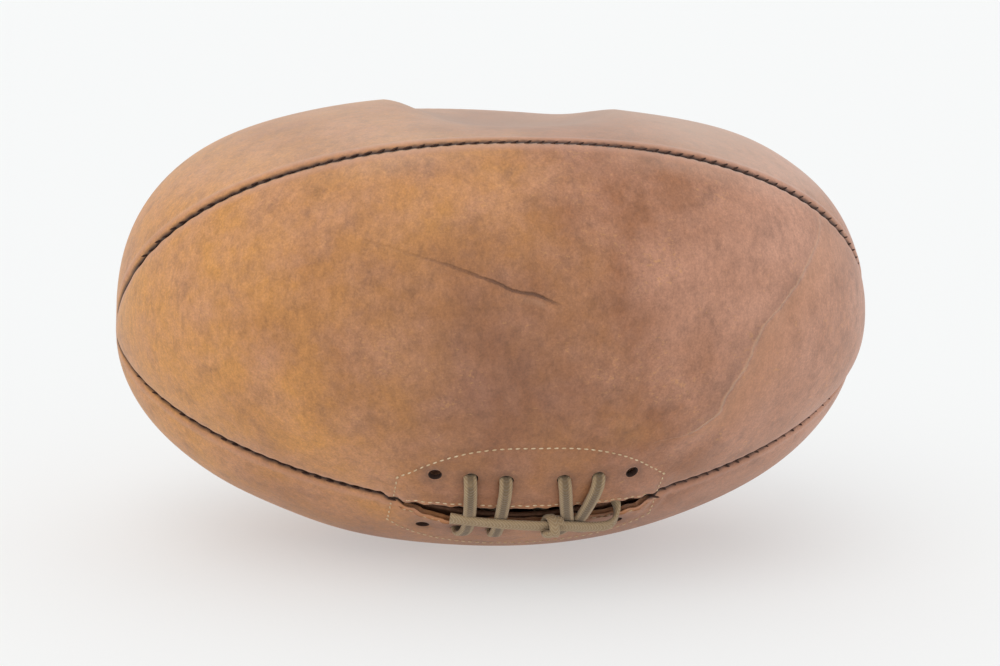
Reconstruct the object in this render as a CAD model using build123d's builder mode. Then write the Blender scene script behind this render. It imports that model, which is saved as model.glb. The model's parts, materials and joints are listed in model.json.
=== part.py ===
from build123d import *
import math
import os

# An old four-panel leather ball, laced shut over a rubber bladder, resting partly deflated.
# X runs from pole to pole, the laced side faces -Y, and Z = 0 is the surface that it rests on.
# The casing is four leather gores joined by turned seams along four lines from pole to pole.
# Lengths are in millimetres, and an inset is a distance from the skin towards the inside.

# --- Casing: driving dimensions, all measured on the skin at the middle of the ball ---
half_length = 142.0  # middle to pole
upper_seam_out = 77.0  # upper seams: out from the middle plane
upper_seam_rise = 80.5  # upper seams: up from the line between the poles
lower_seam_out = 71.0
lower_seam_drop = 52.5
top_bulge = 7.5  # crown of the top panel above the upper seams, before its dent
side_bulge = 26.0  # fullest line of the front and back panels outside their seams
side_drop = 4.0  # how far that line lies under the pole line
keel_bulge = 29.0  # lowest line of the bottom panel under the lower seams, before it is pressed
rest_press = 2.0  # how much of the keel the resting surface presses flat

# The ends: exponents of the superellipses that the lines follow to the poles (2 is an ellipse).
upper_seam_fullness = 2.15
lower_seam_fullness = 1.75
top_fullness = 2.65
side_fullness = 2.0
keel_fullness = 2.0
station_count = 16  # lofted steps from pole to pole

# --- The dent in the top panel ---
dent_x = 1.0
dent_half_length = 42.0
dent_half_width = 80.0
dent_half_height = 24.0
dent_depth = 12.0  # below the crown

# --- Leather, seams and thread ---
leather = 2.2
flange_depth = 6.5  # skin to the inner edge of a turned seam flange
pole_opening = 3.0  # radius of the room that the flanges leave at a pole
pole_closing = 4.5  # leather left outside that room
thread_width = 0.8
thread_depth = 0.9
thread_inset = 0.9  # skin to the thread in the seam
thread_clearance = 0.1  # from the thread to a flange
pole_margin = 5.0  # the thread stops this short of a pole
slot_margin = 3.0  # and this short of the slot
layer_clearance = 0.1  # between two layers that lie on each other

# --- Lace slot, in the lower front seam ---
slot_x = 2.5  # middle of the slot
slot_half_length = 46.0
slot_rise = 4.0  # the gap's upper edge above the seam line
slot_drop = 7.0  # its lower edge below it
facing_thickness = 1.5
facing_overlap = 4.0  # how far the facing runs past the slot's ends
facing_reach = 38.0  # from the seam line to the middle of the facing's arc
facing_shoulder = 15.0  # the same at the facing's two ends
facing_stitch_margin = 2.5  # from the facing's outline to its stitching
stitching_width = 0.8
stitching_proud = 0.45  # how far the stitching stands out of the skin

# --- Lace ---
lace_radius = 1.5
lace_clearance = 0.6  # from the lace to what it lies on
hole_clearance = 1.0  # from the lace to the wall of its hole
upper_hole_setback = 19.5  # along the skin from the seam, above the slot
lower_hole_setback = 16.0  # and below it
lace_hole_pitch = 12.5
middle_hole_spread = 20.5  # between the two middle holes of a row
holes_per_row = 6
largest_bend = 30.0  # radius of the lace's gentlest arcs
knot_turns = 2
knot_clearance = 0.15

# --- Tongue, bladder and its stem ---
tongue_clearance = 1.6  # from the lace to the tongue
tongue_thickness = 1.8
tongue_overlap = 6.0  # how far the tongue runs past the facings' ends
tongue_width = 34.0
tongue_corner = 9.0
bladder_clearance = 1.0  # from the tongue to the bladder
bladder_wall = 0.6
stem_radius = 3.5
stem_bore_radius = 2.0
stem_clearance = 5.5  # from the tongue to the folded stem
stem_rise = 10.0  # from the bladder to the axis of the folded stem
stem_half_run = 22.0
stem_overlap = 14.0  # how far past the middle the folded leg comes back
stem_leg_gap = 3.0  # between the folded stem's two legs
pocket_clearance = 5.0  # round the folded stem
pocket_corner = 7.0
tie_cord_radius = 0.6
tie_turns = 3
tie_x = 6.0
tie_clearance = 0.05

# --- Derived ---
keel_drop = lower_seam_drop + keel_bulge
axis_height = keel_drop - rest_press
crown_rise = upper_seam_rise + top_bulge
side_out = (upper_seam_out + lower_seam_out) / 2 + side_bulge
reach = 2 * half_length  # past every surface of the ball
seam_gap = thread_width + 2 * thread_clearance
facing_inset = leather + layer_clearance
facing_depth = facing_inset + facing_thickness
hole_setback = {1: upper_hole_setback, -1: -lower_hole_setback}
facing_setback = seam_gap / 2 + leather + layer_clearance
facing_half_length = slot_half_length + facing_overlap
lace_hole_radius = lace_radius + hole_clearance
lace_lift = stitching_proud + lace_radius + lace_clearance  # lace axis above the skin
lace_sink = facing_depth + lace_clearance + lace_radius  # lace axis below it, inside the slot
tail_lift = lace_lift + 2 * lace_radius + lace_clearance  # tail axis, over the strands
tongue_inset = max(flange_depth, lace_sink + lace_radius) + tongue_clearance
tongue_depth = tongue_inset + tongue_thickness
bladder_inset = tongue_depth + bladder_clearance
stem_depth = tongue_depth + stem_clearance + stem_radius  # slot to the folded stem's axis
stem_y = stem_radius + stem_leg_gap / 2  # the two legs lie this far from the middle
slot_rim = facing_reach + stem_depth  # half the depth of cutters that follow the skin here
hole_x = [
    slot_x + side * (middle_hole_spread / 2 + step * lace_hole_pitch)
    for side in (-1, 1)
    for step in range(holes_per_row // 2)
]

UPPER_FRONT, UPPER_BACK = (-upper_seam_out, upper_seam_rise), (upper_seam_out, upper_seam_rise)
LOWER_FRONT, LOWER_BACK = (-lower_seam_out, -lower_seam_drop), (lower_seam_out, -lower_seam_drop)
TOP_MIDDLE, KEEL_MIDDLE = (0, crown_rise), (0, -keel_drop)
FRONT_MIDDLE, BACK_MIDDLE = (-side_out, -side_drop), (side_out, -side_drop)
FULLNESS = {
    UPPER_FRONT: upper_seam_fullness,
    UPPER_BACK: upper_seam_fullness,
    LOWER_FRONT: lower_seam_fullness,
    LOWER_BACK: lower_seam_fullness,
    TOP_MIDDLE: top_fullness,
    KEEL_MIDDLE: keel_fullness,
    FRONT_MIDDLE: side_fullness,
    BACK_MIDDLE: side_fullness,
}


def section_point(x, point, inset=0.0):
    """A (y, z) point of the middle section, moved in by inset and drawn in to the station at x."""
    fullness = FULLNESS[point]
    share = (1 - abs(x / (half_length - inset)) ** fullness) ** (1 / fullness)
    size = math.hypot(*point)
    factor = share * (size - inset) / size
    return (point[0] * factor, axis_height + point[1] * factor)


def section_arc(x, start, middle, end, inset=0.0):
    """The arc of one panel at a station, from seam to seam through its fullest point."""
    return ThreePointArc(*[section_point(x, point, inset) for point in (start, middle, end)])


def ball_section(x, inset):
    """The closed section of the casing at x."""
    with BuildSketch(Plane.YZ.offset(x)) as section:
        with BuildLine():
            section_arc(x, UPPER_FRONT, FRONT_MIDDLE, LOWER_FRONT, inset)
            section_arc(x, LOWER_FRONT, KEEL_MIDDLE, LOWER_BACK, inset)
            section_arc(x, LOWER_BACK, BACK_MIDDLE, UPPER_BACK, inset)
            section_arc(x, UPPER_BACK, TOP_MIDDLE, UPPER_FRONT, inset)
        make_face()
    return section.sketch


def ball_body(inset):
    """The closed body of the casing's skin moved in by inset, with its dent and its pressed keel."""
    pole = half_length - inset
    stations = [-pole * math.cos(math.pi * k / station_count) for k in range(1, station_count)]
    sections = [ball_section(x, inset) for x in stations]
    dent = scale(
        Sphere(1.0, mode=Mode.PRIVATE),
        by=(dent_half_length + inset, dent_half_width + inset, dent_half_height + inset),
        mode=Mode.PRIVATE,
    )
    dent_height = axis_height + crown_rise - dent_depth + dent_half_height
    with BuildPart() as body:
        loft(sections=[Vertex(-pole, 0, axis_height), *sections, Vertex(pole, 0, axis_height)])
        with Locations((dent_x, 0, dent_height)):
            add(dent, mode=Mode.SUBTRACT)
        split(bisect_by=Plane.XY.offset(inset), keep=Keep.TOP)
    return body.part


def seam_direction(seam):
    """The unit vector from the pole line to a seam."""
    return Vector(0, *seam).normalized()


def seam_wedge(first, second, inset):
    """The space between two seam planes, moved in from both of them by inset."""
    with BuildPart() as wedge:
        with BuildSketch(Plane.YZ.offset(-reach)):
            with BuildLine():
                pole = Vector(0, axis_height)
                ends = [pole + Vector(*seam).normalized() * reach for seam in (first, second)]
                Polyline(pole, *ends, close=True)
            make_face()
            offset(amount=-inset, kind=Kind.INTERSECTION)
        extrude(amount=2 * reach)
    return wedge.part


# The casing's skin, and the bodies inside its leather and inside its flanges.
skin = ball_body(0.0)
under_leather = ball_body(leather)
with BuildPart() as under_flange:
    add(ball_body(flange_depth))
    with Locations((0, 0, axis_height)):
        Cylinder(pole_opening, 2 * (half_length - pole_closing), rotation=(0, 90, 0))


# --- The lace slot's own plane: X along the seam, Y up onto the front panel, Z out of the ball ---
slot_outward = seam_direction(LOWER_FRONT)
slot_plane = Plane(
    origin=Vector(slot_x, -lower_seam_out, axis_height - lower_seam_drop),
    x_dir=(1, 0, 0),
    z_dir=slot_outward,
)


def skin_plane(x, across, height=0.0):
    """A plane on the skin beside the slot, or height above it, that faces out of the ball.

    across runs along the skin from the seam: up the front panel, or under 0 down the bottom one.
    """
    middle, end = (FRONT_MIDDLE, UPPER_FRONT) if across > 0 else (KEEL_MIDDLE, LOWER_BACK)
    with BuildLine(Plane.YZ.offset(x)) as lip:
        section_arc(x, LOWER_FRONT, middle, end)
    edge = lip.edge()
    place = edge.position_at(abs(across), position_mode=PositionMode.LENGTH)
    along = edge.tangent_at(abs(across), position_mode=PositionMode.LENGTH)
    outward = Vector(1, 0, 0).cross(along) * math.copysign(1, across)
    return Plane(origin=place + outward * height, x_dir=(1, 0, 0), z_dir=outward)


def facing_outline(side, inset=0.0):
    """The crescent of a facing in the slot's plane, above the slot (side 1) or below it (-1)."""
    with BuildSketch() as outline:
        with BuildLine():
            base, shoulder = side * facing_setback, side * facing_shoulder
            left, right = -facing_half_length, facing_half_length
            Line((left, base), (right, base))
            Line((right, base), (right, shoulder))
            ThreePointArc((right, shoulder), (0, side * facing_reach), (left, shoulder))
            Line((left, shoulder), (left, base))
        make_face()
        if inset:
            offset(amount=-inset)
    return outline.sketch


def slot_gap():
    """The lens-shaped gap between the two lips, cut through every layer above the tongue."""
    with BuildPart() as gap:
        with BuildSketch(slot_plane):
            with BuildLine():
                left, right = (-slot_half_length, 0), (slot_half_length, 0)
                ThreePointArc(left, (0, slot_rise), right)
                ThreePointArc(right, (0, -slot_drop), left)
            make_face()
        extrude(amount=slot_rim, both=True)
    return gap.part


def lip_relief():
    """The room along the slot where the casing has no turned flange."""
    with BuildPart() as relief:
        with BuildSketch(slot_plane):
            Rectangle(2 * slot_half_length, 2 * facing_setback)
        extrude(amount=slot_rim, both=True)
        add(under_leather, mode=Mode.INTERSECT)
    return relief.part


gap_cut = slot_gap()
relief_cut = lip_relief()


def casing_panel(first, second, lip=0):
    """A gore between two seams, with its turned flanges. lip is 1 or -1 if the slot cuts it."""
    with BuildPart() as pocket:
        add(seam_wedge(first, second, seam_gap / 2 + leather))
        add(under_leather, mode=Mode.INTERSECT)
    with BuildPart() as panel:
        add(seam_wedge(first, second, seam_gap / 2))
        add(skin, mode=Mode.INTERSECT)
        add(pocket.part, mode=Mode.SUBTRACT)
        add(under_flange.part, mode=Mode.SUBTRACT)
        if lip:
            add(relief_cut, mode=Mode.SUBTRACT)
            add(gap_cut, mode=Mode.SUBTRACT)
            with Locations(*[skin_plane(x, hole_setback[lip]) for x in hole_x]):
                Hole(lace_hole_radius, depth=2 * leather)
    return panel.part


def lace_facing(side):
    """The crescent of leather inside one lip, which carries the pull of the lace."""
    with BuildPart() as facing:
        with BuildSketch(slot_plane):
            add(facing_outline(side))
        extrude(amount=slot_rim, both=True)
        add(facing_outer, mode=Mode.INTERSECT)
        add(facing_inner, mode=Mode.SUBTRACT)
        add(gap_cut, mode=Mode.SUBTRACT)
        with Locations(*[skin_plane(x, hole_setback[side]) for x in hole_x]):
            Hole(lace_hole_radius, depth=2 * facing_depth)
    return facing.part


def facing_stitches(side):
    """The sewing that holds one facing, as a closed line that lies on the skin."""
    with BuildPart() as stitches:
        with BuildSketch(slot_plane):
            add(facing_outline(side, facing_stitch_margin))
            add(facing_outline(side, facing_stitch_margin + stitching_width), mode=Mode.SUBTRACT)
        extrude(amount=slot_rim, both=True)
        add(stitching_top, mode=Mode.INTERSECT)
        add(stitching_base, mode=Mode.SUBTRACT)
    return stitches.part


def seam_stitches(seam, start, end):
    """The sewing in one seam between two stations, seen in the groove between the flanges."""
    seam_plane = Plane(origin=(start, 0, axis_height), x_dir=(0, *seam), z_dir=(1, 0, 0))
    with BuildPart() as stitches:
        with BuildSketch(seam_plane):
            Rectangle(reach, thread_width, align=(Align.MIN, Align.CENTER))
        extrude(amount=end - start)
        add(thread_outer, mode=Mode.INTERSECT)
        add(thread_inner, mode=Mode.SUBTRACT)
    return stitches.part


def bend_radii(points):
    """The radius of the arc at each corner of a route: the largest that its two runs allow."""
    radii = []
    for before, corner, after in zip(points, points[1:], points[2:]):
        run_in, run_out = corner - before, after - corner
        half_turn = math.radians(run_in.get_angle(run_out)) / 2
        largest = 0.45 * min(run_in.length, run_out.length) / math.tan(half_turn)
        radii.append(min(largest, largest_bend))
    return radii


# --- The four leather panels ---
with BuildPart() as front_panel:
    add(casing_panel(UPPER_FRONT, LOWER_FRONT, lip=1))

with BuildPart() as top_panel:
    add(casing_panel(UPPER_BACK, UPPER_FRONT))

with BuildPart() as back_panel:
    add(casing_panel(LOWER_BACK, UPPER_BACK))

with BuildPart() as bottom_panel:
    add(casing_panel(LOWER_FRONT, LOWER_BACK, lip=-1))


# --- The facings inside the two lips, and their stitching ---
facing_outer = ball_body(facing_inset)
facing_inner = ball_body(facing_depth)

with BuildPart() as upper_lace_facing:
    add(lace_facing(1))

with BuildPart() as lower_lace_facing:
    add(lace_facing(-1))

stitching_top = ball_body(-stitching_proud)
stitching_base = ball_body(-layer_clearance)

with BuildPart() as upper_facing_stitching:
    add(facing_stitches(1))

with BuildPart() as lower_facing_stitching:
    add(facing_stitches(-1))


# --- The thread in the seams ---
thread_outer = ball_body(thread_inset)
thread_inner = ball_body(thread_inset + thread_depth)
thread_end = half_length - pole_margin
slot_gap_half = slot_half_length + slot_margin

with BuildPart() as seam_thread_top_front:
    add(seam_stitches(UPPER_FRONT, -thread_end, thread_end))

with BuildPart() as seam_thread_top_back:
    add(seam_stitches(UPPER_BACK, -thread_end, thread_end))

with BuildPart() as seam_thread_bottom_back:
    add(seam_stitches(LOWER_BACK, -thread_end, thread_end))

with BuildPart() as seam_thread_front_bottom_left:
    add(seam_stitches(LOWER_FRONT, -thread_end, slot_x - slot_gap_half))

with BuildPart() as seam_thread_front_bottom_right:
    add(seam_stitches(LOWER_FRONT, slot_x + slot_gap_half, thread_end))


# --- The tongue, a loose strip of leather between the slot and the bladder ---
with BuildPart() as tongue:
    with BuildSketch(slot_plane):
        RectangleRounded(2 * (facing_half_length + tongue_overlap), tongue_width, tongue_corner)
    extrude(amount=slot_rim, both=True)
    add(ball_body(tongue_inset), mode=Mode.INTERSECT)
    add(ball_body(tongue_depth), mode=Mode.SUBTRACT)


# --- The bladder, whose stem is folded and tied in a pocket behind the tongue ---
stem_points = [
    slot_plane.from_local_coords(point)
    for point in (
        Vector(-stem_half_run, -stem_y, -stem_depth - stem_rise),
        Vector(-stem_half_run, -stem_y, -stem_depth),
        Vector(stem_half_run, -stem_y, -stem_depth),
        Vector(stem_half_run, stem_y, -stem_depth),
        Vector(-stem_overlap, stem_y, -stem_depth),
    )
]
with BuildPart() as stem:
    with BuildLine() as stem_path:
        FilletPolyline(*stem_points, radius=bend_radii(stem_points))
    with BuildSketch(Plane(origin=stem_path.line @ 0, z_dir=stem_path.line % 0)):
        Circle(stem_radius)
    sweep()

with BuildPart() as stem_bore:
    with BuildLine():
        add(stem_path.line)
    with BuildSketch(Plane(origin=stem_path.line @ 0, z_dir=stem_path.line % 0)):
        Circle(stem_bore_radius)
    sweep()
    with BuildSketch(Plane(origin=stem_path.line @ 0, z_dir=stem_path.line % 0)):
        Circle(stem_bore_radius)
    extrude(amount=-2 * bladder_wall)


def bladder_pocket(wall=0.0):
    """The pocket round the folded stem, or with a wall the room that its own wall takes."""
    side_room = stem_radius + pocket_clearance + wall
    with BuildPart() as pocket:
        with BuildSketch(slot_plane.offset(-stem_depth - stem_rise - wall)):
            RectangleRounded(
                2 * (stem_half_run + side_room),
                2 * (stem_y + side_room),
                pocket_corner + wall,
            )
        extrude(amount=stem_depth + stem_rise + wall)
    return pocket.part


with BuildPart() as bladder_air:
    add(ball_body(bladder_inset + bladder_wall))
    add(bladder_pocket(bladder_wall), mode=Mode.SUBTRACT)

with BuildPart() as bladder:
    add(ball_body(bladder_inset))
    add(bladder_pocket(), mode=Mode.SUBTRACT)
    add(bladder_air.part, mode=Mode.SUBTRACT)
    add(stem.part)
    add(stem_bore.part, mode=Mode.SUBTRACT)

tie_plane = Plane(
    origin=slot_plane.from_local_coords(Vector(tie_x, 0, -stem_depth)),
    x_dir=slot_plane.y_dir,
    z_dir=(1, 0, 0),
)
tie_radius = stem_radius + tie_clearance + tie_cord_radius
tie_pitch = 1.9 * tie_cord_radius  # the turns press into each other a little
with BuildPart() as stem_tie:
    with BuildLine(tie_plane) as tie_path:
        Line((-stem_y, tie_radius), (stem_y, tie_radius))
        ThreePointArc((stem_y, tie_radius), (stem_y + tie_radius, 0), (stem_y, -tie_radius))
        Line((stem_y, -tie_radius), (-stem_y, -tie_radius))
        ThreePointArc((-stem_y, -tie_radius), (-stem_y - tie_radius, 0), (-stem_y, tie_radius))
    with BuildSketch(Plane(origin=tie_path.line @ 0, x_dir=(1, 0, 0), z_dir=tie_path.line % 0)):
        with GridLocations(tie_pitch, 0, tie_turns, 1):
            Circle(tie_cord_radius)
    sweep()


# --- The lace ---
# Each point is (distance along the slot from its middle, distance across the seam along the skin,
# height above the skin). The cut end lies to the left on the strands, and the tail runs right,
# turns into the slot and comes up through the fifth upper hole. From there the lace crosses the
# slot outside, goes down through the lower hole and comes back inside to the next upper hole.
LACE_TAIL = [
    (-28.0, 0.5, 4.8),
    (-17.0, 0.2, 5.9),
    (3.5, -2.6, tail_lift),
    (13.5, -4.0, tail_lift),
    (20.5, -4.6, 5.6),
    (27.0, -3.4, 3.2),
    (28.2, -0.6, -lace_sink),
    (25.5, 7.0, -lace_sink),
]
STRAND_LEAN = [-5.0, 5.0, 0.8, 2.6]  # how far to the right each strand leans over the slot
lace_end_x = -36.0  # the end inside the ball heads for here
lip_margin = 1.0  # from a lip's edge to the lace's point over it
crossing_rise = 0.5  # how far the lace bows out into the gap between two inner holes


def lace_route():
    """The lace's route as points in space, from its cut end to the end inside the ball."""
    route = list(LACE_TAIL)
    strand_x = [x - slot_x for x in hole_x[-2:0:-1]]
    for x, next_x, lean in zip(strand_x, strand_x[1:] + [lace_end_x], STRAND_LEAN):
        route.append((x, hole_setback[1], -lace_sink))
        route.append((x, hole_setback[1], lace_lift))
        route.append((x + lean / 2, slot_rise + lip_margin, lace_lift))
        route.append((x + lean, -slot_drop - lip_margin, lace_lift))
        route.append((x, hole_setback[-1], lace_lift))
        route.append((x, hole_setback[-1], -lace_sink))
        route.append(((x + next_x) / 2, -lip_margin, crossing_rise - lace_sink))
    return [skin_plane(slot_x + x, across, height).origin for x, across, height in route]


lace_points = lace_route()
lace_radii = bend_radii(lace_points)
print("lace radii:", " ".join(f"{radius:.1f}" for radius in lace_radii))

with BuildPart() as lace:
    with BuildLine() as lace_path:
        FilletPolyline(*lace_points, radius=lace_radii)
    with BuildSketch(Plane(origin=lace_path.line @ 0, z_dir=lace_path.line % 0)):
        Circle(lace_radius)
    sweep()
print(f"lace length: {sum(edge.length for edge in lace_path.edges()):.1f}")

# The hitch round the tail, between the third and the fourth strand.
knot_start, knot_end = lace_points[2], lace_points[3]
knot_along = (knot_end - knot_start).normalized()
knot_ring_radius = 2 * lace_radius + knot_clearance
knot_plane = Plane(origin=(knot_start + knot_end) / 2, x_dir=knot_along, z_dir=(0, 0, 1))
with BuildPart() as lace_knot:
    with BuildSketch(knot_plane):
        with Locations((0, knot_ring_radius)):
            with GridLocations(1.9 * lace_radius, 0, knot_turns, 1):
                Circle(lace_radius)
    revolve(axis=Axis(knot_plane.origin, knot_along))


# --- Write every piece ---
os.makedirs("parts", exist_ok=True)

front_panel.part.label = "front_panel"
export_step(front_panel.part, "parts/front_panel.step")

top_panel.part.label = "top_panel"
export_step(top_panel.part, "parts/top_panel.step")

back_panel.part.label = "back_panel"
export_step(back_panel.part, "parts/back_panel.step")

bottom_panel.part.label = "bottom_panel"
export_step(bottom_panel.part, "parts/bottom_panel.step")

upper_lace_facing.part.label = "upper_lace_facing"
export_step(upper_lace_facing.part, "parts/upper_lace_facing.step")

lower_lace_facing.part.label = "lower_lace_facing"
export_step(lower_lace_facing.part, "parts/lower_lace_facing.step")

upper_facing_stitching.part.label = "upper_facing_stitching"
export_step(upper_facing_stitching.part, "parts/upper_facing_stitching.step")

lower_facing_stitching.part.label = "lower_facing_stitching"
export_step(lower_facing_stitching.part, "parts/lower_facing_stitching.step")

seam_thread_top_front.part.label = "seam_thread_top_front"
export_step(seam_thread_top_front.part, "parts/seam_thread_top_front.step")

seam_thread_top_back.part.label = "seam_thread_top_back"
export_step(seam_thread_top_back.part, "parts/seam_thread_top_back.step")

seam_thread_bottom_back.part.label = "seam_thread_bottom_back"
export_step(seam_thread_bottom_back.part, "parts/seam_thread_bottom_back.step")

seam_thread_front_bottom_left.part.label = "seam_thread_front_bottom_left"
export_step(seam_thread_front_bottom_left.part, "parts/seam_thread_front_bottom_left.step")

seam_thread_front_bottom_right.part.label = "seam_thread_front_bottom_right"
export_step(seam_thread_front_bottom_right.part, "parts/seam_thread_front_bottom_right.step")

tongue.part.label = "tongue"
export_step(tongue.part, "parts/tongue.step")

bladder.part.label = "bladder"
export_step(bladder.part, "parts/bladder.step")

stem_tie.part.label = "stem_tie"
export_step(stem_tie.part, "parts/stem_tie.step")

lace.part.label = "lace"
export_step(lace.part, "parts/lace.step")

lace_knot.part.label = "lace_knot"
export_step(lace_knot.part, "parts/lace_knot.step")
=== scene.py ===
"""An old four-panel leather ball, laced over a rubber bladder and resting partly deflated.

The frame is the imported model's: metres, X from pole to pole, the laced side towards -Y, and
Z up from the surface that the ball rests on.
"""

from __future__ import annotations

import json
import logging
import math
from dataclasses import dataclass, field
from enum import Enum

import bpy
import numpy as np
from mathutils import Matrix, Vector

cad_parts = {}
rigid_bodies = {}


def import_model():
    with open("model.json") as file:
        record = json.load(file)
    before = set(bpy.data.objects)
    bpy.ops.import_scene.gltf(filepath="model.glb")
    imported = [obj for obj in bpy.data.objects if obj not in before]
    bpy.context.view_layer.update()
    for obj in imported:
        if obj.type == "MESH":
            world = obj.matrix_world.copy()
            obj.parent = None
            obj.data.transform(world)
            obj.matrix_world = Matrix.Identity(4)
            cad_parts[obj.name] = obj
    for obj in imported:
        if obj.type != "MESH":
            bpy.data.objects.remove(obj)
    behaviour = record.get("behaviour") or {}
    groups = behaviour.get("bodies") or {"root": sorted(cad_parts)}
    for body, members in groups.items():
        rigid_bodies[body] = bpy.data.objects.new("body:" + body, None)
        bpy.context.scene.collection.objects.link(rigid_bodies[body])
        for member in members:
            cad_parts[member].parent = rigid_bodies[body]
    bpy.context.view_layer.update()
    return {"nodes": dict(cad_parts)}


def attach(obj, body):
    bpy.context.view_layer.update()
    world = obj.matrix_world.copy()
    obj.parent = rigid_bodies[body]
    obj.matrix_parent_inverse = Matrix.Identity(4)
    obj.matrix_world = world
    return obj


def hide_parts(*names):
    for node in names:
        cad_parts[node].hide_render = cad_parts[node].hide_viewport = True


log = logging.getLogger("laced_ball")
MM = 0.001
Socket = bpy.types.NodeSocket


# --- The casing's form ---
class Corner(Enum):
    """A line of the casing that runs from pole to pole, named for its place in the section."""

    UPPER_FRONT = "upper_front"
    UPPER_BACK = "upper_back"
    LOWER_FRONT = "lower_front"
    LOWER_BACK = "lower_back"
    CROWN = "crown"
    KEEL = "keel"
    FRONT = "front"
    BACK = "back"


class Gore(Enum):
    """One of the casing's four leather panels, with the lines that its section runs through."""

    FRONT = (Corner.LOWER_FRONT, Corner.FRONT, Corner.UPPER_FRONT)
    TOP = (Corner.UPPER_FRONT, Corner.CROWN, Corner.UPPER_BACK)
    BACK = (Corner.UPPER_BACK, Corner.BACK, Corner.LOWER_BACK)
    BOTTOM = (Corner.LOWER_BACK, Corner.KEEL, Corner.LOWER_FRONT)


@dataclass(frozen=True)
class CasingForm:
    """The smooth form of the casing, which every layer of the ball follows."""

    half_length: float = 142 * MM
    axis_height: float = 79.5 * MM
    slot_x: float = 2.5 * MM
    lines: dict = field(
        default_factory=lambda: {
            Corner.UPPER_FRONT: (-77 * MM, 80.5 * MM, 2.15),
            Corner.UPPER_BACK: (77 * MM, 80.5 * MM, 2.15),
            Corner.LOWER_FRONT: (-71 * MM, -52.5 * MM, 1.75),
            Corner.LOWER_BACK: (71 * MM, -52.5 * MM, 1.75),
            Corner.CROWN: (0.0, 88 * MM, 2.65),
            Corner.KEEL: (0.0, -81.5 * MM, 2.0),
            Corner.FRONT: (-100 * MM, -4 * MM, 2.0),
            Corner.BACK: (100 * MM, -4 * MM, 2.0),
        }
    )

    def line(self, corner: Corner, x: np.ndarray) -> np.ndarray:
        """Where a line of the casing passes each station.

        Args:
            corner: The line.
            x: The stations.

        Returns:
            The (y, z) places, with z from the pole line.
        """
        out, rise, fullness = self.lines[corner]
        reach = np.clip(np.abs(x) / self.half_length, 0.0, 1.0)
        share = (1.0 - reach**fullness) ** (1.0 / fullness)
        return np.stack([out * share, rise * share], axis=-1)

    def arc(self, gore: Gore, x: np.ndarray) -> tuple[np.ndarray, ...]:
        """The arc of a gore's section at each station.

        Args:
            gore: The panel.
            x: The stations.

        Returns:
            The arc's centre, radius, first angle and swept angle.
        """
        first, middle, last = (self.line(corner, x) for corner in gore.value)
        (ax, ay), (bx, by), (cx, cy) = (point.T for point in (first, middle, last))
        twice = 2.0 * (ax * (by - cy) + bx * (cy - ay) + cx * (ay - by))
        a2, b2, c2 = ax * ax + ay * ay, bx * bx + by * by, cx * cx + cy * cy
        ux = (a2 * (by - cy) + b2 * (cy - ay) + c2 * (ay - by)) / twice
        uy = (a2 * (cx - bx) + b2 * (ax - cx) + c2 * (bx - ax)) / twice
        start = np.arctan2(ay - uy, ax - ux)
        sweep = -np.mod(start - np.arctan2(cy - uy, cx - ux), 2.0 * np.pi)
        return np.stack([ux, uy], axis=-1), np.hypot(ax - ux, ay - uy), start, sweep

    def width(self, gore: Gore, x: np.ndarray) -> np.ndarray:
        """How wide a gore is along the skin at each station."""
        _, radius, _, sweep = self.arc(gore, x)
        return np.abs(sweep) * radius

    def surface(self, gore: Gore, x: np.ndarray, across: np.ndarray) -> np.ndarray:
        """Points on the smooth skin.

        Args:
            gore: The panel.
            x: The stations, shape (n,).
            across: Distances along the skin from the gore's first line, shape (n, m).

        Returns:
            The points, shape (n, m, 3).
        """
        centre, radius, start, sweep = (value[:, None] for value in self.arc(gore, x))
        angle = start + np.sign(sweep) * across / radius
        y = centre[..., 0] + radius * np.cos(angle)
        z = centre[..., 1] + radius * np.sin(angle) + self.axis_height
        return np.stack([np.broadcast_to(x[:, None], y.shape), y, z], axis=-1)

    def beside_slot(self, x: np.ndarray, across: np.ndarray, height: np.ndarray) -> np.ndarray:
        """Points beside the lace slot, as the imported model's route is given.

        Args:
            x: Places along the ball.
            across: Distances along the skin from the seam, up the front or under 0 down the keel.
            height: Distances out of the skin.

        Returns:
            The points, shape (n, 3).
        """
        up = self.surface(Gore.FRONT, x, np.abs(across)[:, None])[:, 0]
        under_width = self.width(Gore.BOTTOM, x)[:, None]
        down = self.surface(Gore.BOTTOM, x, under_width - np.abs(across)[:, None])[:, 0]
        point = np.where(across[:, None] > 0, up, down)
        normals = []
        for gore in (Gore.FRONT, Gore.BOTTOM):
            centre = self.arc(gore, x)[0]
            out = point[:, 1:] - centre - np.array([0.0, self.axis_height])
            normals.append(out / np.linalg.norm(out, axis=1, keepdims=True))
        normal = np.where(across[:, None] > 0, *normals)
        point = point.copy()
        point[:, 1:] += normal * height[:, None]
        return point


def bump_at(distance: np.ndarray, reach: float) -> np.ndarray:
    """A smooth bump of height 1 where the distance is 0, which dies away over the reach."""
    return np.exp(-((distance / reach) ** 2))


def step_up(value: np.ndarray, start: float, end: float) -> np.ndarray:
    """A smooth step from 0 at start to 1 at end."""
    t = np.clip((value - start) / (end - start), 0.0, 1.0)
    return t * t * (3.0 - 2.0 * t)


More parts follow.
